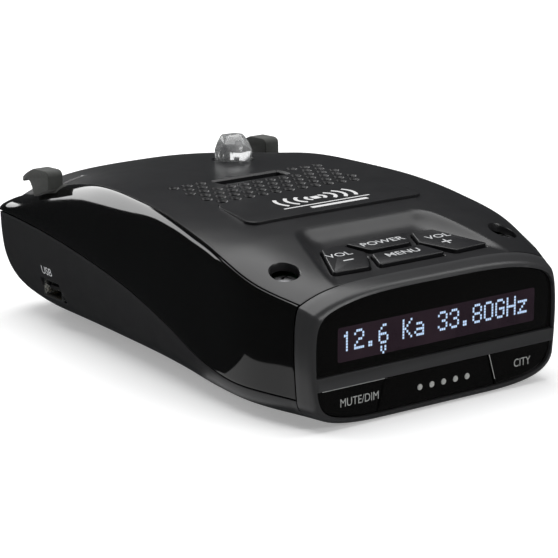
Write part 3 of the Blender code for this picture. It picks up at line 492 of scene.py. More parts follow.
# grey ink of the key legends, also used for the painted highlight strips along two key edges
GREY_INK_AND_HIGHLIGHT = painted_legend("grey_ink_and_highlight", (0.36, 0.37, 0.36))
GLYPH = glowing("display_glow", (0.50, 0.66, 0.90), 0.95)
BACKING = display_backing("display_backing")
LAMP = painted_legend("lamp_diffuser", (0.42, 0.43, 0.41))
LUG_RUBBER = rubber("lug_rubber", (0.040, 0.042, 0.038))
CLEAR = crystal("clear_crystal")
SCREW_STEEL = brushed_metal("screw_steel", (0.13, 0.13, 0.135), 0.35)
TIN = brushed_metal("tin_plate", (0.55, 0.55, 0.53), 0.28)
CONTACT = brushed_metal("contact_gold", (0.80, 0.58, 0.25), 0.25)
ZINC = cast_metal("cast_zinc", (0.45, 0.45, 0.44))
BOARD = circuit_board("circuit_board", (0.010, 0.075, 0.030))
FLEX = flex_cable("flex_film")
CONE = paper_cone("cone_paper")
DARK_PART = moulded_plastic("dark_moulding", (0.012, 0.012, 0.013), 0.5, grain=0.3, depth=0.01)
LIGHT_PART = moulded_plastic("light_guide_plastic", (0.55, 0.55, 0.53), 0.4)


# ---- meshes

def at(x, station, z):
    """A point of the body in metres."""
    return (x * MM, (station - LENGTH / 2) * MM, z * MM)


def shift(x, y, z=0.0):
    return Matrix.Translation((x * MM, y * MM, z * MM))


def place(x, station, z):
    return shift(x, station - LENGTH / 2, z)


def turn(degrees, axis):
    return Matrix.Rotation(math.radians(degrees), 4, axis)


def facing_front(station):
    """A frame whose local X-Y plane is the body's X-Z plane, with local +Z towards the front."""
    return place(0, station, 0) @ turn(90, "X")


TO_RIGHT = turn(90, "Y")  # local +Z to the right
PROFILE = turn(90, "Z") @ turn(90, "X")  # local X-Y plane to the side view, local +Z to the right
FLOOR = place(0, FLOOR_STATION, FLOOR_Z) @ Matrix.Rotation(math.atan(FLOOR_SLOPE), 4, "X")


def smooth(mesh, angle):
    mesh.shade_smooth()
    mesh.set_sharp_from_angle(angle=math.radians(angle))


def link(name, mesh, angle=None):
    obj = bpy.data.objects.new(name, mesh)
    bpy.context.scene.collection.objects.link(obj)
    if angle:
        smooth(mesh, angle)
    return obj


def made(name, bm, matrix=None, angle=None):
    """An object from a bmesh, with its faces outwards where it is closed."""
    bmesh.ops.recalc_face_normals(bm, faces=bm.faces)
    if all(e.is_manifold for e in bm.edges) and bm.calc_volume(signed=True) < 0:
        bmesh.ops.reverse_faces(bm, faces=bm.faces[:])
    mesh = bpy.data.meshes.new(name)
    bm.to_mesh(mesh)
    bm.free()
    if matrix is not None:
        mesh.transform(matrix)
    return link(name, mesh, angle)


def settle(obj, angle=35):
    """Applies the modifiers, so that the piece is its final mesh."""
    bpy.context.view_layer.update()
    evaluated = obj.evaluated_get(bpy.context.evaluated_depsgraph_get())
    mesh = bpy.data.meshes.new_from_object(evaluated)
    obj.modifiers.clear()
    obj.data = mesh
    smooth(mesh, angle)
    return obj


def piece(obj, material, body="housing", replaces=()):
    """Gives a piece its material and its place in the frame."""
    obj.data.materials.clear()
    obj.data.materials.append(material)
    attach(obj, body)
    if replaces:
        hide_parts(*replaces)


def bevel(obj, width, segments=2, angle=40, smoothing=35):
    modifier = obj.modifiers.new("Bevel", "BEVEL")
    modifier.width = width * MM
    modifier.segments = segments
    modifier.limit_method = "ANGLE"
    modifier.angle_limit = math.radians(angle)
    modifier.miter_outer = "MITER_ARC"
    return settle(obj, smoothing)


def thicken(obj, thickness):
    """Gives a surface a wall on its inner side."""
    modifier = obj.modifiers.new("Solidify", "SOLIDIFY")
    modifier.thickness = thickness * MM
    modifier.offset = -1


def cut(obj, *groups):
    """Takes away groups of closed cutters, one group after another, then removes them.

    The cutters of one group don't touch each other.
    """
    for cutters in groups:
        bm = bmesh.new()
        for cutter in cutters:
            bm.from_mesh(cutter.data)
            bpy.data.objects.remove(cutter)
        joined = made(obj.name + "_cutter", bm)
        modifier = obj.modifiers.new("Cut", "BOOLEAN")
        modifier.operation = "DIFFERENCE"
        modifier.object = joined
        settle(obj)
        bpy.data.objects.remove(joined)


def bridge(bm, rings, closed=True):
    """Quads from each row of vertices to the next."""
    for a, b in zip(rings, rings[1:]):
        for i in range(len(a) if closed else len(a) - 1):
            j = (i + 1) % len(a)
            bm.faces.new((a[i], a[j], b[j], b[i]))


def grid(bm, rows, closed=False):
    """Quads over rows of points in millimetres, (x, station, z)."""
    rings = [[bm.verts.new(at(*point)) for point in row] for row in rows]
    bridge(bm, rings, closed)
    return rings


def prism(name, outline, low, high, matrix, flare=None):
    """A flat outline thickened along the matrix's local Z. flare is (height, growth) of a wider top."""
    bm = bmesh.new()
    levels = [(low, outline), (high, outline)]
    if flare:
        height, growth = flare
        wide = offset(list(outline), growth)
        levels = [(low, outline), (height - growth, outline), (height + 0.02, wide), (high, wide)]
    rings = [[bm.verts.new((x * MM, y * MM, z * MM)) for x, y in ring] for z, ring in levels]
    bridge(bm, rings)
    bm.faces.new(rings[0])
    bm.faces.new(rings[-1])
    return made(name, bm, matrix)


def turned(name, profile, matrix, sides):
    """A profile of (radius, height) points turned about the matrix's local Z, closed on the axis."""
    bm = bmesh.new()
    angles = [2 * math.pi * k / sides for k in range(sides)]
    rings = [[bm.verts.new((radius * MM * math.cos(a), radius * MM * math.sin(a), height * MM))
              for a in (angles if radius else [0])] for radius, height in profile]
    for a, b in zip(rings, rings[1:]):
        for i in range(sides):
            j = (i + 1) % sides
            corners = [a[i % len(a)], a[j % len(a)], b[j % len(b)], b[i % len(b)]]
            bm.faces.new(list(dict.fromkeys(corners)))
    return made(name, bm, matrix, 35)


def along(origin, direction):
    """A frame at a point with local +Z along a direction."""
    return Matrix.Translation(origin) @ Vector((0, 0, 1)).rotation_difference(direction).to_matrix().to_4x4()


def on_cover(x, station):
    """A frame on the top cover with local +Z along its normal."""
    step = 0.2
    slope_x = (cover_height(x + step, station) - cover_height(x - step, station)) / (2 * step)
    slope_y = (cover_height(x, station + step) - cover_height(x, station - step)) / (2 * step)
    point = place(x, station, cover_height(x, station)).translation
    return along(point, Vector((-slope_x, -slope_y, 1)).normalized())


def box(name, size, matrix, width=0.0):
    bm = bmesh.new()
    bmesh.ops.create_cube(bm, size=1, matrix=Matrix.Diagonal((*(Vector(size) * MM), 1)))
    obj = made(name, bm, matrix)
    if width:
        bevel(obj, width, 3)
    return obj


def lettering(name, words, size, matrix, widen, weight=0.0):
    """Words as a thin raised mesh, centred on the matrix's origin in its X-Y plane."""
    curve = bpy.data.curves.new(name, "FONT")
    curve.body = words
    curve.align_x, curve.align_y = "CENTER", "CENTER"
    curve.size = size * MM
    curve.extrude = 0.012 * MM
    curve.offset = weight * MM
    curve.resolution_u = 6
    guide = bpy.data.objects.new(name + "_guide", curve)
    bpy.context.scene.collection.objects.link(guide)
    bpy.context.view_layer.update()
    mesh = bpy.data.meshes.new_from_object(guide.evaluated_get(bpy.context.evaluated_depsgraph_get()))
    bpy.data.objects.remove(guide)
    mesh.transform(matrix @ Matrix.Diagonal((widen, 1, 1, 1)))
    return link(name, mesh)


# ---- casing

def soft_low(a, b, radius):
    """The lower of two heights, blended where they come within a radius of each other."""
    share = max(0.0, radius - abs(a - b)) / radius
    return min(a, b) - share * share * radius / 4


def recess_height(x, station):
    """Height of the keypad recess: its floor, and the walls that rise from it, with filleted joins."""
    floor = FLOOR_Z + FLOOR_SLOPE * (station - FLOOR_STATION)
    foot_x, foot_station = RECESS_FOOT
    mouth_x, mouth_station = RECESS_MOUTH
    run = Vector((mouth_x - foot_x, mouth_station - foot_station)).normalized()
    beyond = (abs(x) - foot_x) * -run.y + (station - foot_station) * run.x
    side = floor + RECESS_SIDE_RISE * beyond
    rear = floor + RECESS_REAR_RISE * (station - foot_station)
    wall = -soft_low(-side, -rear, 2 * RECESS_FILLET)
    return -soft_low(-floor, -wall, RECESS_FILLET)


def groove_depth(x, station):
    """Depth of the short channel beside each rear lug."""
    middle, inner, outer, half, depth = LUG_GROOVE
    beyond = max(inner - abs(x), 0, abs(x) - outer)
    share = 1 - math.hypot(beyond, station - middle) / half
    return depth * min(1.0, max(0.0, share) * 2.0)


def open_shell(name, rows, cap=None):
    """A moulding: a surface through rows of points, thickened inwards, with eased rims.

    cap holds the (x, z) points that the last row is drawn to across the rear wall.
    """
    bm = bmesh.new()
    below = grid(bm, rows)[-1]
    if cap:
        for k in range(1, CAP_STEPS + 1):
            share = k / CAP_STEPS
            ring = [bm.verts.new(at(p[0] + (q[0] - p[0]) * share, LENGTH, p[2] + (q[1] - p[2]) * share))
                    for p, q in zip(rows[-1], cap)]
            bridge(bm, (below, ring), closed=False)
            below = ring
    shell = made(name, bm, angle=35)
    facing_up(shell)
    thicken(shell, WALL)
    return bevel(shell, 0.22, 2, 50)


def drawn_back(points, count):
    """Evenly spaced points along a line of points, with both ends drawn back from the seams."""
    flat = np.array(points)
    run = np.concatenate(([0], np.cumsum(np.hypot(*np.diff(flat, axis=0).T))))
    spots = np.linspace(SEAM_HALF, run[-1] - SEAM_HALF, count)
    return list(zip(np.interp(spots, run, flat[:, 0]), np.interp(spots, run, flat[:, 1])))


def facing_up(obj):
    """Turns an open surface's faces so that its normals point away from the body's middle."""
    outward = sum((p.center - Vector((0, p.center.y, CENTRE_Z * MM))).dot(p.normal) * p.area
                  for p in obj.data.polygons)
    if outward < 0:
        obj.data.flip_normals()


def flared_hole(name, radius, growth, matrix, sides):
    wide = radius + growth
    profile = ((0, -6.0), (radius, -6.0), (radius, -growth), (wide, 0.05), (wide, 2.5), (0, 2.5))
    return turned(name, profile, matrix, sides)


def grille_cutters():
    """Countersunk holes in a staggered pattern, left out where the slot is."""
    cutters = []
    row_pitch = GRILLE_PITCH * math.sqrt(3) / 2
    for row in range(GRILLE_ROWS):
        station = GRILLE_STATION - row * row_pitch
        for column in range(GRILLE_COLUMNS - row % 2):
            x = (column - (GRILLE_COLUMNS - 1) / 2 + 0.5 * (row % 2)) * GRILLE_PITCH
            if station > SLOT_FRONT - GRILLE_MARGIN[1] and abs(x) < SLOT_HALF + GRILLE_MARGIN[0]:
                continue
            cutters.append(flared_hole("grille_hole", GRILLE_HOLE, GRILLE_FLARE, on_cover(x, station), 12))
    return cutters


def rectangle(low, high, radius):
    (x0, y0), (x1, y1) = low, high
    return rounded([(x0, y0), (x1, y0), (x1, y1), (x0, y1)], radius)


def button_outline(key):
    return rounded(BUTTONS[key], 0.7)


def node_box(node):
    """A CAD node's (low, high) in x, station and z, in millimetres."""
    low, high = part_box(node)
    return [(a / MM + k, b / MM + k) for a, b, k in zip(low, high, (0, LENGTH / 2, 0))]


def node_centre(node):
    return [(low + high) / 2 for low, high in node_box(node)]


def seam_row(points, station, count):
    return [(x, station, z) for x, z in drawn_back(points, count)]


def pin_cut(name, radius, low, high, matrix):
    return turned(name, ((0, low), (radius, low), (radius, high), (0, high)), matrix, 48)


def build_top_cover(halves, cap_z):
    """The top cover, with the recess and the grooves pressed into its surface."""
    rows = []
    for station, outline in halves.items():
        half = outline[:TOP_STEPS + 1]
        row = []
        for x, s, z in seam_row([(-x, z) for x, z in half[:0:-1]] + half, station, 2 * TOP_STEPS + 1):
            if s < RECESS_END:
                z = soft_low(z, recess_height(x, s), RECESS_CREST)
            row.append((x, s, z - groove_depth(x, s)))
        rows.append(row)
    cap = [(x / rows[-1][-1][0] * TOP_CAP_HALF, cap_z) for x, s, z in rows[-1]]
    top = open_shell("top_cover_shell", rows, cap)
    cutters, rims = grille_cutters(), []
    for node in ("front_screw_left", "front_screw_right"):
        x, s, _ = node_centre(node)
        cutters.append(pin_cut("well", WELL_RADIUS, WELL_FLOOR, 40, place(x, s, 0)))
        rims.append(turned("well_rim", ((0, -0.3), (WELL_RADIUS, -0.3), (WELL_RADIUS + 0.35, 0.05),
                                        (WELL_RADIUS + 0.35, 2.0), (0, 2.0)), on_cover(x, s), 48))
    slot = rectangle((-SLOT_HALF, SLOT_FRONT), (SLOT_HALF, SLOT_REAR), 0.5)
    slot_top = cover_height(SLOT_HALF, SLOT_FRONT)
    cutters.append(prism("slot", slot, 20, 40, place(0, 0, 0), (slot_top, 0.4)))
    x, s, _ = node_centre("laser_lens")
    cutters.append(flared_hole("lens_seat", 4.7, 0.25, on_cover(x, s), 64))
    pockets = {key: prism(f"{key}_pocket", offset(button_outline(key), GAP), -4, 4, FLOOR, (0.0, 0.18))
               for key in BUTTONS}
    cut(top, cutters, rims + [pockets["vol_down"], pockets["vol_up"]], [pockets["power"]], [pockets["menu"]])
    piece(top, SATIN, replaces=["top_cover"])


def build_casing():
    stations = station_list()
    halves = {s: half_outline(s) for s in stations}
    parting = TOP_STEPS + SIDE_STEPS
    seam_z = half_outline(LENGTH, (8, 5, 6))[13][1] - SEAM_HALF
    build_top_cover(halves, seam_z + GAP)
    for side, name in ((1, "right_side_panel"), (-1, "left_side_panel")):
        rows = [seam_row([(side * x, z) for x, z in halves[s][TOP_STEPS:parting + 1]], s, SIDE_STEPS + 1)
                for s in stations]
        piece(open_shell(name + "_skin", rows), GLOSS, replaces=[name])

    base_stations = stations[::2] + ([stations[-1]] if len(stations) % 2 == 0 else [])
    rows = []
    for s in base_stations:
        right = halves[s][parting:]
        rows.append(seam_row(right + [(-x, z) for x, z in right[::-1]], s, 2 * BASE_STEPS + 21))
    cap = []
    for x, s, z in rows[-1]:
        share = x / rows[-1][0][0]
        cap.append((share * BASE_CAP_HALF, seam_z - BASE_CAP_EASE * max(0.0, abs(share) - 0.92) / 0.08))
    base = open_shell("bottom_cover_shell", rows, cap)
    cut(base, base_cutters())
    piece(base, BASE_SATIN, replaces=["bottom_cover"])


def base_cutters():
    """Openings of the bottom cover: the USB mouth, the two jacks and the rear screw wells."""
    _, s, z = node_centre("usb_port")
    mouth = rectangle((-4.3, -2.5), (4.3, 2.5), 0.5)
    cutters = [prism("usb_mouth", mouth, -10, 10, place(-34, s, z) @ PROFILE)]
    for node, radius in (("power_jack", 4.3), ("earphone_jack", 3.3)):
        _, s, z = node_centre(node)
        cutters.append(pin_cut("jack_mouth", radius, 22, 45, place(0, s, z) @ TO_RIGHT))
    for node in ("rear_screw_left", "rear_screw_right"):
        x, s, _ = node_centre(node)
        cutters.append(pin_cut("rear_well", WELL_RADIUS, -5, 5.2, place(x, s, 0)))
    return cutters


# ---- front

def front_outline(inset):
    return offset(full_outline(FRONT_ROUND, FACE_STEPS), -inset)


def build_bezel():
    bm = bmesh.new()
    rounding = [FRONT_ROUND * (1 - math.cos(math.pi / 2 * k / 7)) for k in range(8)]
    rows = [[(x, s, z) for x, z in full_outline(s, FACE_STEPS)] for s in (*rounding, 2.9, BEZEL_DEPTH)]
    rings = grid(bm, rows, closed=True)
    bm.faces.new(rings[0])
    bm.faces.new(rings[-1])
    bezel = made("bezel_frame", bm, angle=35)
    opening = softened(front_outline(BEZEL_LIP), CORNER_REACH)
    window = rounded(clipped(opening, 0, -1, -WINDOW_LOW_Z), 0.8, 4, 130)
    panel = rounded(clipped(opening, 0, 1, PANEL_HIGH_Z), 0.6, 4, 130)
    rear = facing_front(BEZEL_DEPTH + 2)
    cut(bezel, [prism("bezel_pocket", front_outline(1.0), 0, 3.8, rear)],
        [prism("window_cut", window, 0, BEZEL_DEPTH + 4, rear),
         prism("panel_cut", panel, 0, BEZEL_DEPTH + 4, rear)])
    piece(bevel(bezel, 0.28, 3, 50), BEZEL, replaces=["front_bezel"])


def build_window():
    opening = softened(front_outline(BEZEL_LIP + GAP * 0.6), CORNER_REACH)
    outline = rounded(clipped(opening, 0, -1, -(WINDOW_LOW_Z + GAP * 0.6)), 0.7, 4, 130)
    rear = WINDOW_FRONT + WINDOW_THICK
    window = bevel(prism("display_window_glass", outline, 0, WINDOW_THICK, facing_front(rear)), 0.15)
    piece(window, WINDOW, replaces=["display_window"])
    face = facing_front(WINDOW_FRONT)
    area = rectangle(ACTIVE_LOW, ACTIVE_HIGH, 0.6)
    piece(prism("display_active_area", area, -0.05, 0.012, face), BACKING)


DOTS = {
    "1": "..#.. .##.. ..#.. ..#.. ..#.. ..#.. ..#..",
    "2": ".###. #...# ....# ..##. .#... #.... #####",
    "3": ".###. #...# ....# ..##. ....# #...# .###.",
    "6": "..##. .#... #.... ####. #...# #...# .###.",
    "8": ".###. #...# #...# .###. #...# #...# .###.",
    "0": ".###. #...# #...# #...# #...# #...# .###.",
    ".": "..... ..... ..... ..... ..... .##.. .##..",
    "K": "#...# #..#. #.#.. ##... #.#.. #..#. #...#",
    "a": "..... ..... .###. ....# .#### #...# .####",
    "G": ".###. #...# #.... #.### #...# #...# .###.",
    "H": "#...# #...# #...# ##### #...# #...# #...#",
    "z": "..... ..... ##### ...#. ..#.. .#... #####",
    " ": "..... ..... ..... ..... ..... ..... .....",
}


def build_characters():
    """The reading as a dot matrix: one small raised cell for each lit dot, and a marker below."""
    bm = bmesh.new()

    def cell(x, z):
        size = Vector((DOT_X * DOT_FILL, DOT_Z * DOT_FILL, 0.03)) * MM
        bmesh.ops.create_cube(bm, size=1, matrix=shift(x, z, 0.02) @ Matrix.Diagonal((*size, 1)))

    for i, character in enumerate(READING):
        for row, line in enumerate(DOTS[character].split()):
            for column, mark in enumerate(line):
                if mark == "#":
                    cell(TEXT_LEFT + (i * 6 + column + 0.5) * DOT_X, TEXT_TOP - (row + 0.5) * DOT_Z)
    pointer = 3 * 6 + 2.5
    for row, columns in enumerate(((-1, 1), (-1, 1), (0,))):
        for column in columns:
            cell(TEXT_LEFT + (pointer + column) * DOT_X, TEXT_TOP - (row + 8.1) * DOT_Z)
    piece(made("display_characters", bm, facing_front(WINDOW_FRONT)), GLYPH)


def build_lower_panel():
    opening = softened(front_outline(BEZEL_LIP + GAP * 0.7), CORNER_REACH)
    opening = clipped(opening, 0, 1, PANEL_HIGH_Z - GAP * 0.7)
    lean = (SPLIT_LOW_X - SPLIT_TOP_X) / (PANEL_HIGH_Z - SPLIT_LOW_Z)
    split = SPLIT_TOP_X + lean * PANEL_HIGH_Z
    middle = clipped(clipped(opening, 1, lean, split - GAP / 2), -1, lean, split - GAP / 2)
    right = clipped(opening, -1, -lean, -(split + GAP / 2))
    left = clipped(opening, 1, -lean, -(split + GAP / 2))
    for name, outline, thick, body, replaced in (
            ("mute_dim_key_cap", left, KEY_THICK, "mute_dim_key", "mute_dim_button"),
            ("city_key_cap", right, KEY_THICK, "city_key", "city_button"),
            ("indicator_strip", middle, PANEL_THICK, "housing", "led_panel")):
        cap = prism(name, rounded(outline, 0.5, 4, 130), 0, thick, facing_front(PANEL_FRONT + thick))
        piece(bevel(cap, 0.28, 4), WINDOW, body, [replaced])
    face = facing_front(PANEL_FRONT)
    # painted highlights: thin light-grey strips along the upper edge of one key and the slanted edge of the
    # other, where the key edges catch light
    high = PANEL_HIGH_Z - GAP
    slanted_highlight = ((2.6, 0.3), (2.6, 0.48), (high, 0.48), (high, 0.3))
    edges = {"mute_dim": [(x, high + z) for x, z in ((-29.5, -0.07), (-split + lean * high, -0.07),
                                                     (-split + lean * high, 0.07), (-29.5, 0.07))],
             "city": [(split - lean * z + x, z) for z, x in slanted_highlight]}
    for key, outline in edges.items():
        piece(prism(f"{key}_key_edge_highlight", outline, -0.3, 0.012, face), GREY_INK_AND_HIGHLIGHT, f"{key}_key")
    for key, words, x in (("mute_dim", "MUTE/DIM", -20.1), ("city", "CITY", 23.2)):
        legend = lettering(f"{key}_legend", words, LEGEND_SIZE, face @ shift(x, 4.9, 0.01), 0.88)
        piece(legend, GREY_INK_AND_HIGHLIGHT, f"{key}_key")
    quarter = np.linspace(0, math.pi / 2, 6)[:-1]
    dome = [(LED_RADIUS * math.cos(a), LED_RISE * math.sin(a)) for a in quarter]
    profile = [(0, -0.4), (LED_RADIUS, -0.4)] + dome + [(0, LED_RISE)]
    for i in range(LED_COUNT):
        x = (i - (LED_COUNT - 1) / 2) * LED_PITCH + LED_MIDDLE_X
        piece(turned(f"indicator_lens_{i + 1}", profile, face @ shift(x, LED_Z), 24), LAMP)


# ---- keypad

def build_keypad():
    for key in BUTTONS:
        cap = prism(f"{key}_key_cap", button_outline(key), BUTTON_LOW, BUTTON_HIGH, FLOOR)
        piece(bevel(cap, 0.35, 4), KEY, f"{key}_key", [f"{key}_button"])
    legends = (("vol_down", "VOL", -13.2, 2.05), ("vol_up", "VOL", 13.0, 2.1),
               ("power", "POWER", 0, 4.45), ("menu", "MENU", 0, -2.3))
    for key, words, x, y in legends:
        spot = FLOOR @ shift(x, y, BUTTON_HIGH + 0.01)
        piece(lettering(f"{key}_legend", words, LEGEND_SIZE, spot, 1.32, 0.015), INK, f"{key}_key")
    for key, x, bars in (("vol_down", -13.2, ((2.6, 0.42),)), ("vol_up", 12.8, ((2.6, 0.42), (0.42, 2.4)))):
        for i, (wide, deep) in enumerate(bars):
            bar = box(f"{key}_sign_{i + 1}", (wide, deep, 0.04), FLOOR @ shift(x, -0.95, BUTTON_HIGH), 0.01)
            piece(bar, INK, f"{key}_key")


# ---- top pieces

def badge_top(x, station):
    share = (station - BADGE_FRONT) / (BADGE_REAR - BADGE_FRONT)
    return cover_height(x, station) + BADGE_LIFT - BADGE_FALL * share


def build_badge():
    """The raised plate with its generic mark, its sections closer together at both ends."""
    columns, rows_count = 60, 24
    bm = bmesh.new()
    low, high = [], []
    for j in range(rows_count + 1):
        v = (1 - math.cos(math.pi * j / rows_count)) / 2
        s = BADGE_FRONT + (BADGE_REAR - BADGE_FRONT) * v
        half = BADGE_FRONT_X + (BADGE_REAR_X - BADGE_FRONT_X) * v
        from_end = min(s - BADGE_FRONT, BADGE_REAR - s)
        if from_end < BADGE_CORNER:
            half -= BADGE_CORNER * (1 - math.sqrt(1 - (1 - from_end / BADGE_CORNER) ** 2))
        across = [half * (2 * i / columns - 1) for i in range(columns + 1)]
        low.append([(x, s, cover_height(x, s) + BADGE_SINK) for x in across])
        high.append([(x, s, badge_top(x, s)) for x in across])
    low, high = grid(bm, low), grid(bm, high)
    for end in (0, -1):
        bridge(bm, (low[end], high[end]), closed=False)
    for end in (0, -1):
        bridge(bm, ([row[end] for row in low], [row[end] for row in high]), closed=False)
    plate = bevel(made("badge_plate_skin", bm, angle=35), 0.18, 2, 50)
    piece(plate, SATIN, replaces=["badge_plate"])
    build_mark()


def draped(name, outlines):
    """Flat outlines in (x, station), laid on the badge plate as a thin raised print."""
    bm = bmesh.new()
    for outline in outlines:
        rings = [[bm.verts.new(at(x, s, badge_top(x, s) + lift)) for x, s in outline]
                 for lift in (0.0, MARK_THICK)]
        half = len(outline) // 2
        for ring in rings:
            for i in range(half - 1):
                bm.faces.new((ring[i], ring[i + 1], ring[-2 - i], ring[-1 - i]))
        bridge(bm, rings)
    return made(name, bm)


def strip(centre, half_width, steps):
    """A band round a centre line given as a function of 0 to 1, as a closed outline."""
    points = [Vector(centre(i / steps)) for i in range(steps + 1)]
    left, right = [], []
    for i, p in enumerate(points):
        run = (points[min(i + 1, steps)] - points[max(i - 1, 0)]).normalized()
        side = Vector((-run.y, run.x)) * half_width
        left.append(tuple(p + side))
        right.append(tuple(p - side))
    return left + right[::-1]


def build_mark():
    """Arcs that spread from a bar to both sides, over a long thin rule and a short bold one."""
    bands = []
    for side in (1, -1):
        for k in range(4):
            radius, spread = 2.4 + 2.5 * k, math.radians(52 - 9 * k)
            bands.append(strip(lambda t: (
                side * radius * math.cos(spread * (2 * t - 1)),
                MARK_STATION + 0.62 * radius * math.sin(spread * (2 * t - 1))), 0.42, 16))
    rules = ((0.0, 0.95, MARK_STATION, 0.95, 4), (0.0, 11.4, 36.6, 0.22, 24), (2.0, 7.5, 34.9, 0.5, 20))
    for middle, half, station, half_width, steps in rules:
        bands.append(strip(lambda t: (half * (2 * t - 1) + middle, station), half_width, steps))
    piece(draped("badge_mark", bands), MARK_INK)


def build_lens():
    """Clear faceted dome that gathers light from all round, seated in the top cover."""
    x, station, _ = node_centre("laser_lens")
    top = node_box("laser_lens")[2][1]
    seat = cover_height(x, station)
    bm = bmesh.new()
    rng = np.random.default_rng(7)
    levels = ((4.35, seat - 1.2, 14), (4.45, seat + 0.6, 14), (4.7, seat + 2.2, 14),
              (4.1, seat + 4.0, 11), (2.6, top - 0.5, 7))
    for radius, z, count in levels:
        start = rng.uniform(0, 1)
        for k in range(count):
            a = 2 * math.pi * (k + start) / count
            r = radius * rng.uniform(0.84, 1.0)
            bm.verts.new((r * math.cos(a) * MM, r * math.sin(a) * MM, (z + rng.uniform(-0.35, 0.25)) * MM))
    bm.verts.new((0.4 * MM, -0.3 * MM, top * MM))
    bmesh.ops.convex_hull(bm, input=bm.verts)
    loose = [v for v in bm.verts if not v.link_faces]
    bmesh.ops.delete(bm, geom=loose, context="VERTS")
    lens = made("laser_lens_crystal", bm, place(x, station, 0))
    piece(bevel(lens, 0.12, 2, 8, 12), CLEAR, replaces=["laser_lens"])


LUG_PROFILE = ((0.0, 31.9), (0.1, 35.1), (0.5, 35.7), (1.4, 36.0), (6.2, 35.8), (7.6, 35.2), (9.4, 34.3),
               (10.8, 33.3), (10.9, 32.3), (10.4, 32.2), (9.2, 32.9), (8.0, 32.7), (7.0, 31.4), (6.2, 29.4))


def build_lugs():
    """Soft lugs at the rear corners: a block with a hooked tail on a flared foot."""
    for side, name in ((-1, "left_bumper"), (1, "right_bumper")):
        (x0, x1), (front, _), _ = node_box(name)
        half = (x1 - x0) / 2 * 0.86
        outline = rounded([(front + s - LENGTH / 2, z) for s, z in LUG_PROFILE], 0.4, 3)
        lug = prism(f"{name}_lug", outline, -half, half, shift((x0 + x1) / 2, 0) @ PROFILE)
        piece(bevel(lug, 0.45, 4, 45), LUG_RUBBER, replaces=[name])
        build_lug_foot(f"{name}_foot", side, front)


def build_lug_foot(name, side, front):
    """A thin flared pad that wraps from the cover over the seam onto the side panel."""
    bm = bmesh.new()
    rows = []
    for j in range(13):
        v = j / 12
        s = front - 0.6 + 9.5 * v
        half = half_outline(s, (40, 30, 4))
        points = half[34:41] + half[42:52]
        bulge = 0.75 * max(0.0, math.sin(math.pi * v)) ** 0.4
        row = []
        for i, (x, z) in enumerate(points):
            rise = bulge * max(0.0, math.sin(math.pi * i / (len(points) - 1))) ** 0.5
            row.append((side * (x + rise * 0.35), s, z + rise))
        rows.append(row)
    grid(bm, rows)
    foot = made(name, bm, angle=35)
    facing_up(foot)
    thicken(foot, 0.5)
    piece(bevel(foot, 0.15, 2, 50), LUG_RUBBER)


# ---- fasteners and sockets

def build_screws():
    """Pan-head screws with a domed head and a crossed drive."""
    quarter = np.linspace(0, math.pi / 2, 9)[1:]
    dome = [(HEAD_RADIUS * math.sin(a), -0.9 + 0.9 * math.cos(a)) for a in quarter]
    profile = [(0, 0)] + dome + [(HEAD_RADIUS, -1.5), (2.5, -1.7), (1.2, -1.7), (1.2, -16.0), (0, -17.0)]
    for node, flip, head in (("front_screw_left", 0, 28.6), ("front_screw_right", 0, 28.6),
                             ("rear_screw_left", 180, 3.0), ("rear_screw_right", 180, 3.0)):
        x, s, _ = node_centre(node)
        spot = place(x, s, head) @ turn(flip, "X")
        screw = turned(f"{node}_steel", profile, spot, 40)
        drive = spot @ shift(0, 0, -0.5) @ Matrix.Rotation(0.5, 4, "Z")
        cut(screw, [box("drive", (3.0, 0.62, 1.6), drive)], [box("drive", (0.62, 3.0, 1.6), drive)])
        piece(screw, SCREW_STEEL, replaces=[node])


def build_usb():
    """Folded metal shell of the USB socket, with its plastic tongue and gold contacts."""
    (x0, x1), (s0, s1), (z0, z1) = node_box("usb_port")
    middle, s, z = node_centre("usb_port")
    outline = rectangle((s0 - s, z0 - z), (s1 - s, z1 - z), 0.5)
    spot = place(x0, s, z) @ PROFILE
    shell = prism("usb_metal_shell", outline, 0, x1 - x0, spot)
    cut(shell, [prism("usb_mouth_cut", offset(outline, -0.35), -1, 6.5, spot)])
    piece(bevel(shell, 0.1, 2, 50), TIN, replaces=["usb_port"])
    piece(box("usb_tongue", (6.0, 5.2, 0.8), place(middle - 0.4, s, z + 0.2), 0.15), DARK_PART)
    for i in range(5):
        spot = place(middle - 0.7, s + (i - 2) * 0.9, z - 0.24)
        piece(box(f"usb_contact_{i + 1}", (4.8, 0.4, 0.1), spot, 0.03), CONTACT)


def build_jacks():
    """Turned noses of the power and earphone jacks, each with a metal sleeve in its bore."""
    for node, nose, bore in (("power_jack", 4.0, 3.15), ("earphone_jack", 2.9, 1.8)):
        x0, x1 = node_box(node)[0]
        _, s, z = node_centre(node)
        spot = place(0, s, z) @ TO_RIGHT
        profile = ((0, x0), (nose, x0), (nose, x1 - 0.4), (nose - 0.4, x1), (bore + 0.3, x1),
                   (bore, x1 - 0.3), (bore, x0 + 3), (0, x0 + 3))
        piece(turned(f"{node}_barrel", profile, spot, 48), DARK_PART, replaces=[node])
        sleeve = ((bore, x0 + 3.2), (bore, x1 - 1.0), (bore - 0.25, x1 - 1.0), (bore - 0.25, x0 + 3.2),
                  (bore, x0 + 3.2))
        piece(turned(f"{node}_sleeve", sleeve, spot, 48), TIN)
    _, s, z = node_centre("power_jack")
    pin = ((0, 22), (1.0, 22), (1.0, 29.2), (0.7, 29.8), (0, 30.0))
    piece(turned("power_jack_pin", pin, place(0, s, z) @ TO_RIGHT, 24), TIN)


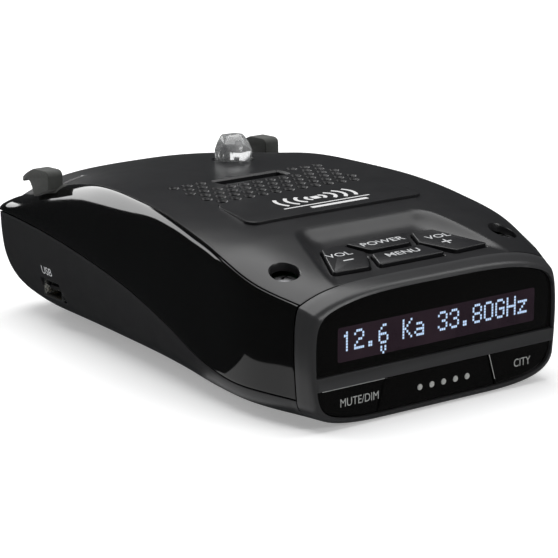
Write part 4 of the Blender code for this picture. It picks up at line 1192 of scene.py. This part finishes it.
def build_usb_legend():
    """USB legend on the left flank of the bottom cover, above its socket."""
    _, station, z = node_centre("usb_port")
    height = z + 4.5

    def flank(s, level):
        belly = [p for p in half_outline(s, (8, 5, 60))[13:] if p[1] < level + 2]
        return float(np.interp(level, [p[1] for p in belly[::-1]], [p[0] for p in belly[::-1]]))

    step = 0.5
    x = flank(station, height)
    slope_s = (flank(station + step, height) - flank(station - step, height)) / (2 * step)
    slope_z = (flank(station, height + step) - flank(station, height - step)) / (2 * step)
    normal = Vector((-1, -slope_s, -slope_z)).normalized()
    across = Vector((0, -1, 0))
    up = normal.cross(across).normalized()
    across = up.cross(normal)
    turned_up = Matrix((across, up, normal)).transposed().to_4x4()
    point = Vector(at(-x, station, height)) + normal * 0.03 * MM
    piece(lettering("usb_legend", "USB", 2.7, Matrix.Translation(point) @ turned_up, 1.0), INK)


def dress_cad_nodes():
    """Materials of the CAD nodes that are shown as they are."""
    finishes = {"led_light_guide": LIGHT_PART, "front_pcb": BOARD, "keypad_pcb": BOARD,
                "laser_pcb": BOARD, "main_pcb": BOARD, "horn_antenna": ZINC, "rf_shield": TIN,
                "speaker": CONE, "ribbon_cable": FLEX}
    for name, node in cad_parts.items():
        node.data.materials.clear()
        node.data.materials.append(TIN if name.endswith("_switch") else finishes.get(name, DARK_PART))


# ---- studio

CAMERA_AZIMUTH, CAMERA_ELEVATION = -37.3245, 14.553
CAMERA_DISTANCE, CAMERA_LENS = 567.8, 166.2
CAMERA_TARGET = (5.9, LENGTH / 2, 14.0)
CAMERA_SHIFT = (-0.0085, -0.0062)


def add_light(name, centre, target, size, power):
    light = bpy.data.lights.new(name, "AREA")
    light.shape = "RECTANGLE"
    light.size, light.size_y = size
    light.energy = power
    obj = bpy.data.objects.new(name, light)
    obj.location = centre
    obj.rotation_euler = (Vector(target) - Vector(centre)).to_track_quat("-Z", "Y").to_euler()
    bpy.context.scene.collection.objects.link(obj)
    return obj


def build_studio():
    scene = bpy.context.scene
    azimuth, elevation = math.radians(CAMERA_AZIMUTH), math.radians(CAMERA_ELEVATION)
    back = Vector((math.sin(azimuth) * math.cos(elevation), -math.cos(azimuth) * math.cos(elevation),
                   math.sin(elevation)))
    camera = bpy.data.objects.new("camera", bpy.data.cameras.new("camera"))
    camera.location = Vector(at(*CAMERA_TARGET)) + back * CAMERA_DISTANCE * MM
    camera.rotation_euler = (-back).to_track_quat("-Z", "Y").to_euler()
    camera.data.lens = CAMERA_LENS
    camera.data.shift_x, camera.data.shift_y = CAMERA_SHIFT
    scene.collection.objects.link(camera)
    scene.camera = camera
    scene.view_settings.view_transform = "Standard"

    bm = bmesh.new()
    bmesh.ops.create_grid(bm, x_segments=1, y_segments=1, size=6)
    floor = made("floor", bm, shift(0, 0, -0.2))
    floor.data.materials.append(floor_paper("floor_paper"))
    floor.visible_glossy = False

    world = bpy.data.worlds.new("studio")
    world.use_nodes = True
    constant(world.node_tree.nodes["Background"], Color=(0.9, 0.95, 1.0, 1), Strength=0.04)
    scene.world = world
    add_light("overhead_softbox", (0, 0.25, 1.1), (0, 0, 0), (1.3, 1.1), 14)
    add_light("front_fill", (0.35, -0.9, 0.55), (0, 0, 0.02), (0.5, 0.4), 3.2)
    add_light("right_softbox", (0.74, -0.23, 0.91), (0, 0, 0.02), (0.5, 0.5), 2.2)
    add_light("rear_band", (-0.20, 1.22, 0.64), (-0.03, 0, 0.03), (1.5, 0.36), 7.0)
    glow = add_light("table_glow", (-0.047, -0.045, 0.001), (-0.047, -0.045, 1), (0.026, 0.046), 0.0026)
    glow.visible_diffuse = False


for build in (build_casing, build_bezel, build_window, build_characters, build_lower_panel, build_keypad,
              build_badge, build_lens, build_lugs, build_screws, build_usb, build_usb_legend, build_jacks,
              dress_cad_nodes, build_studio):
    build()
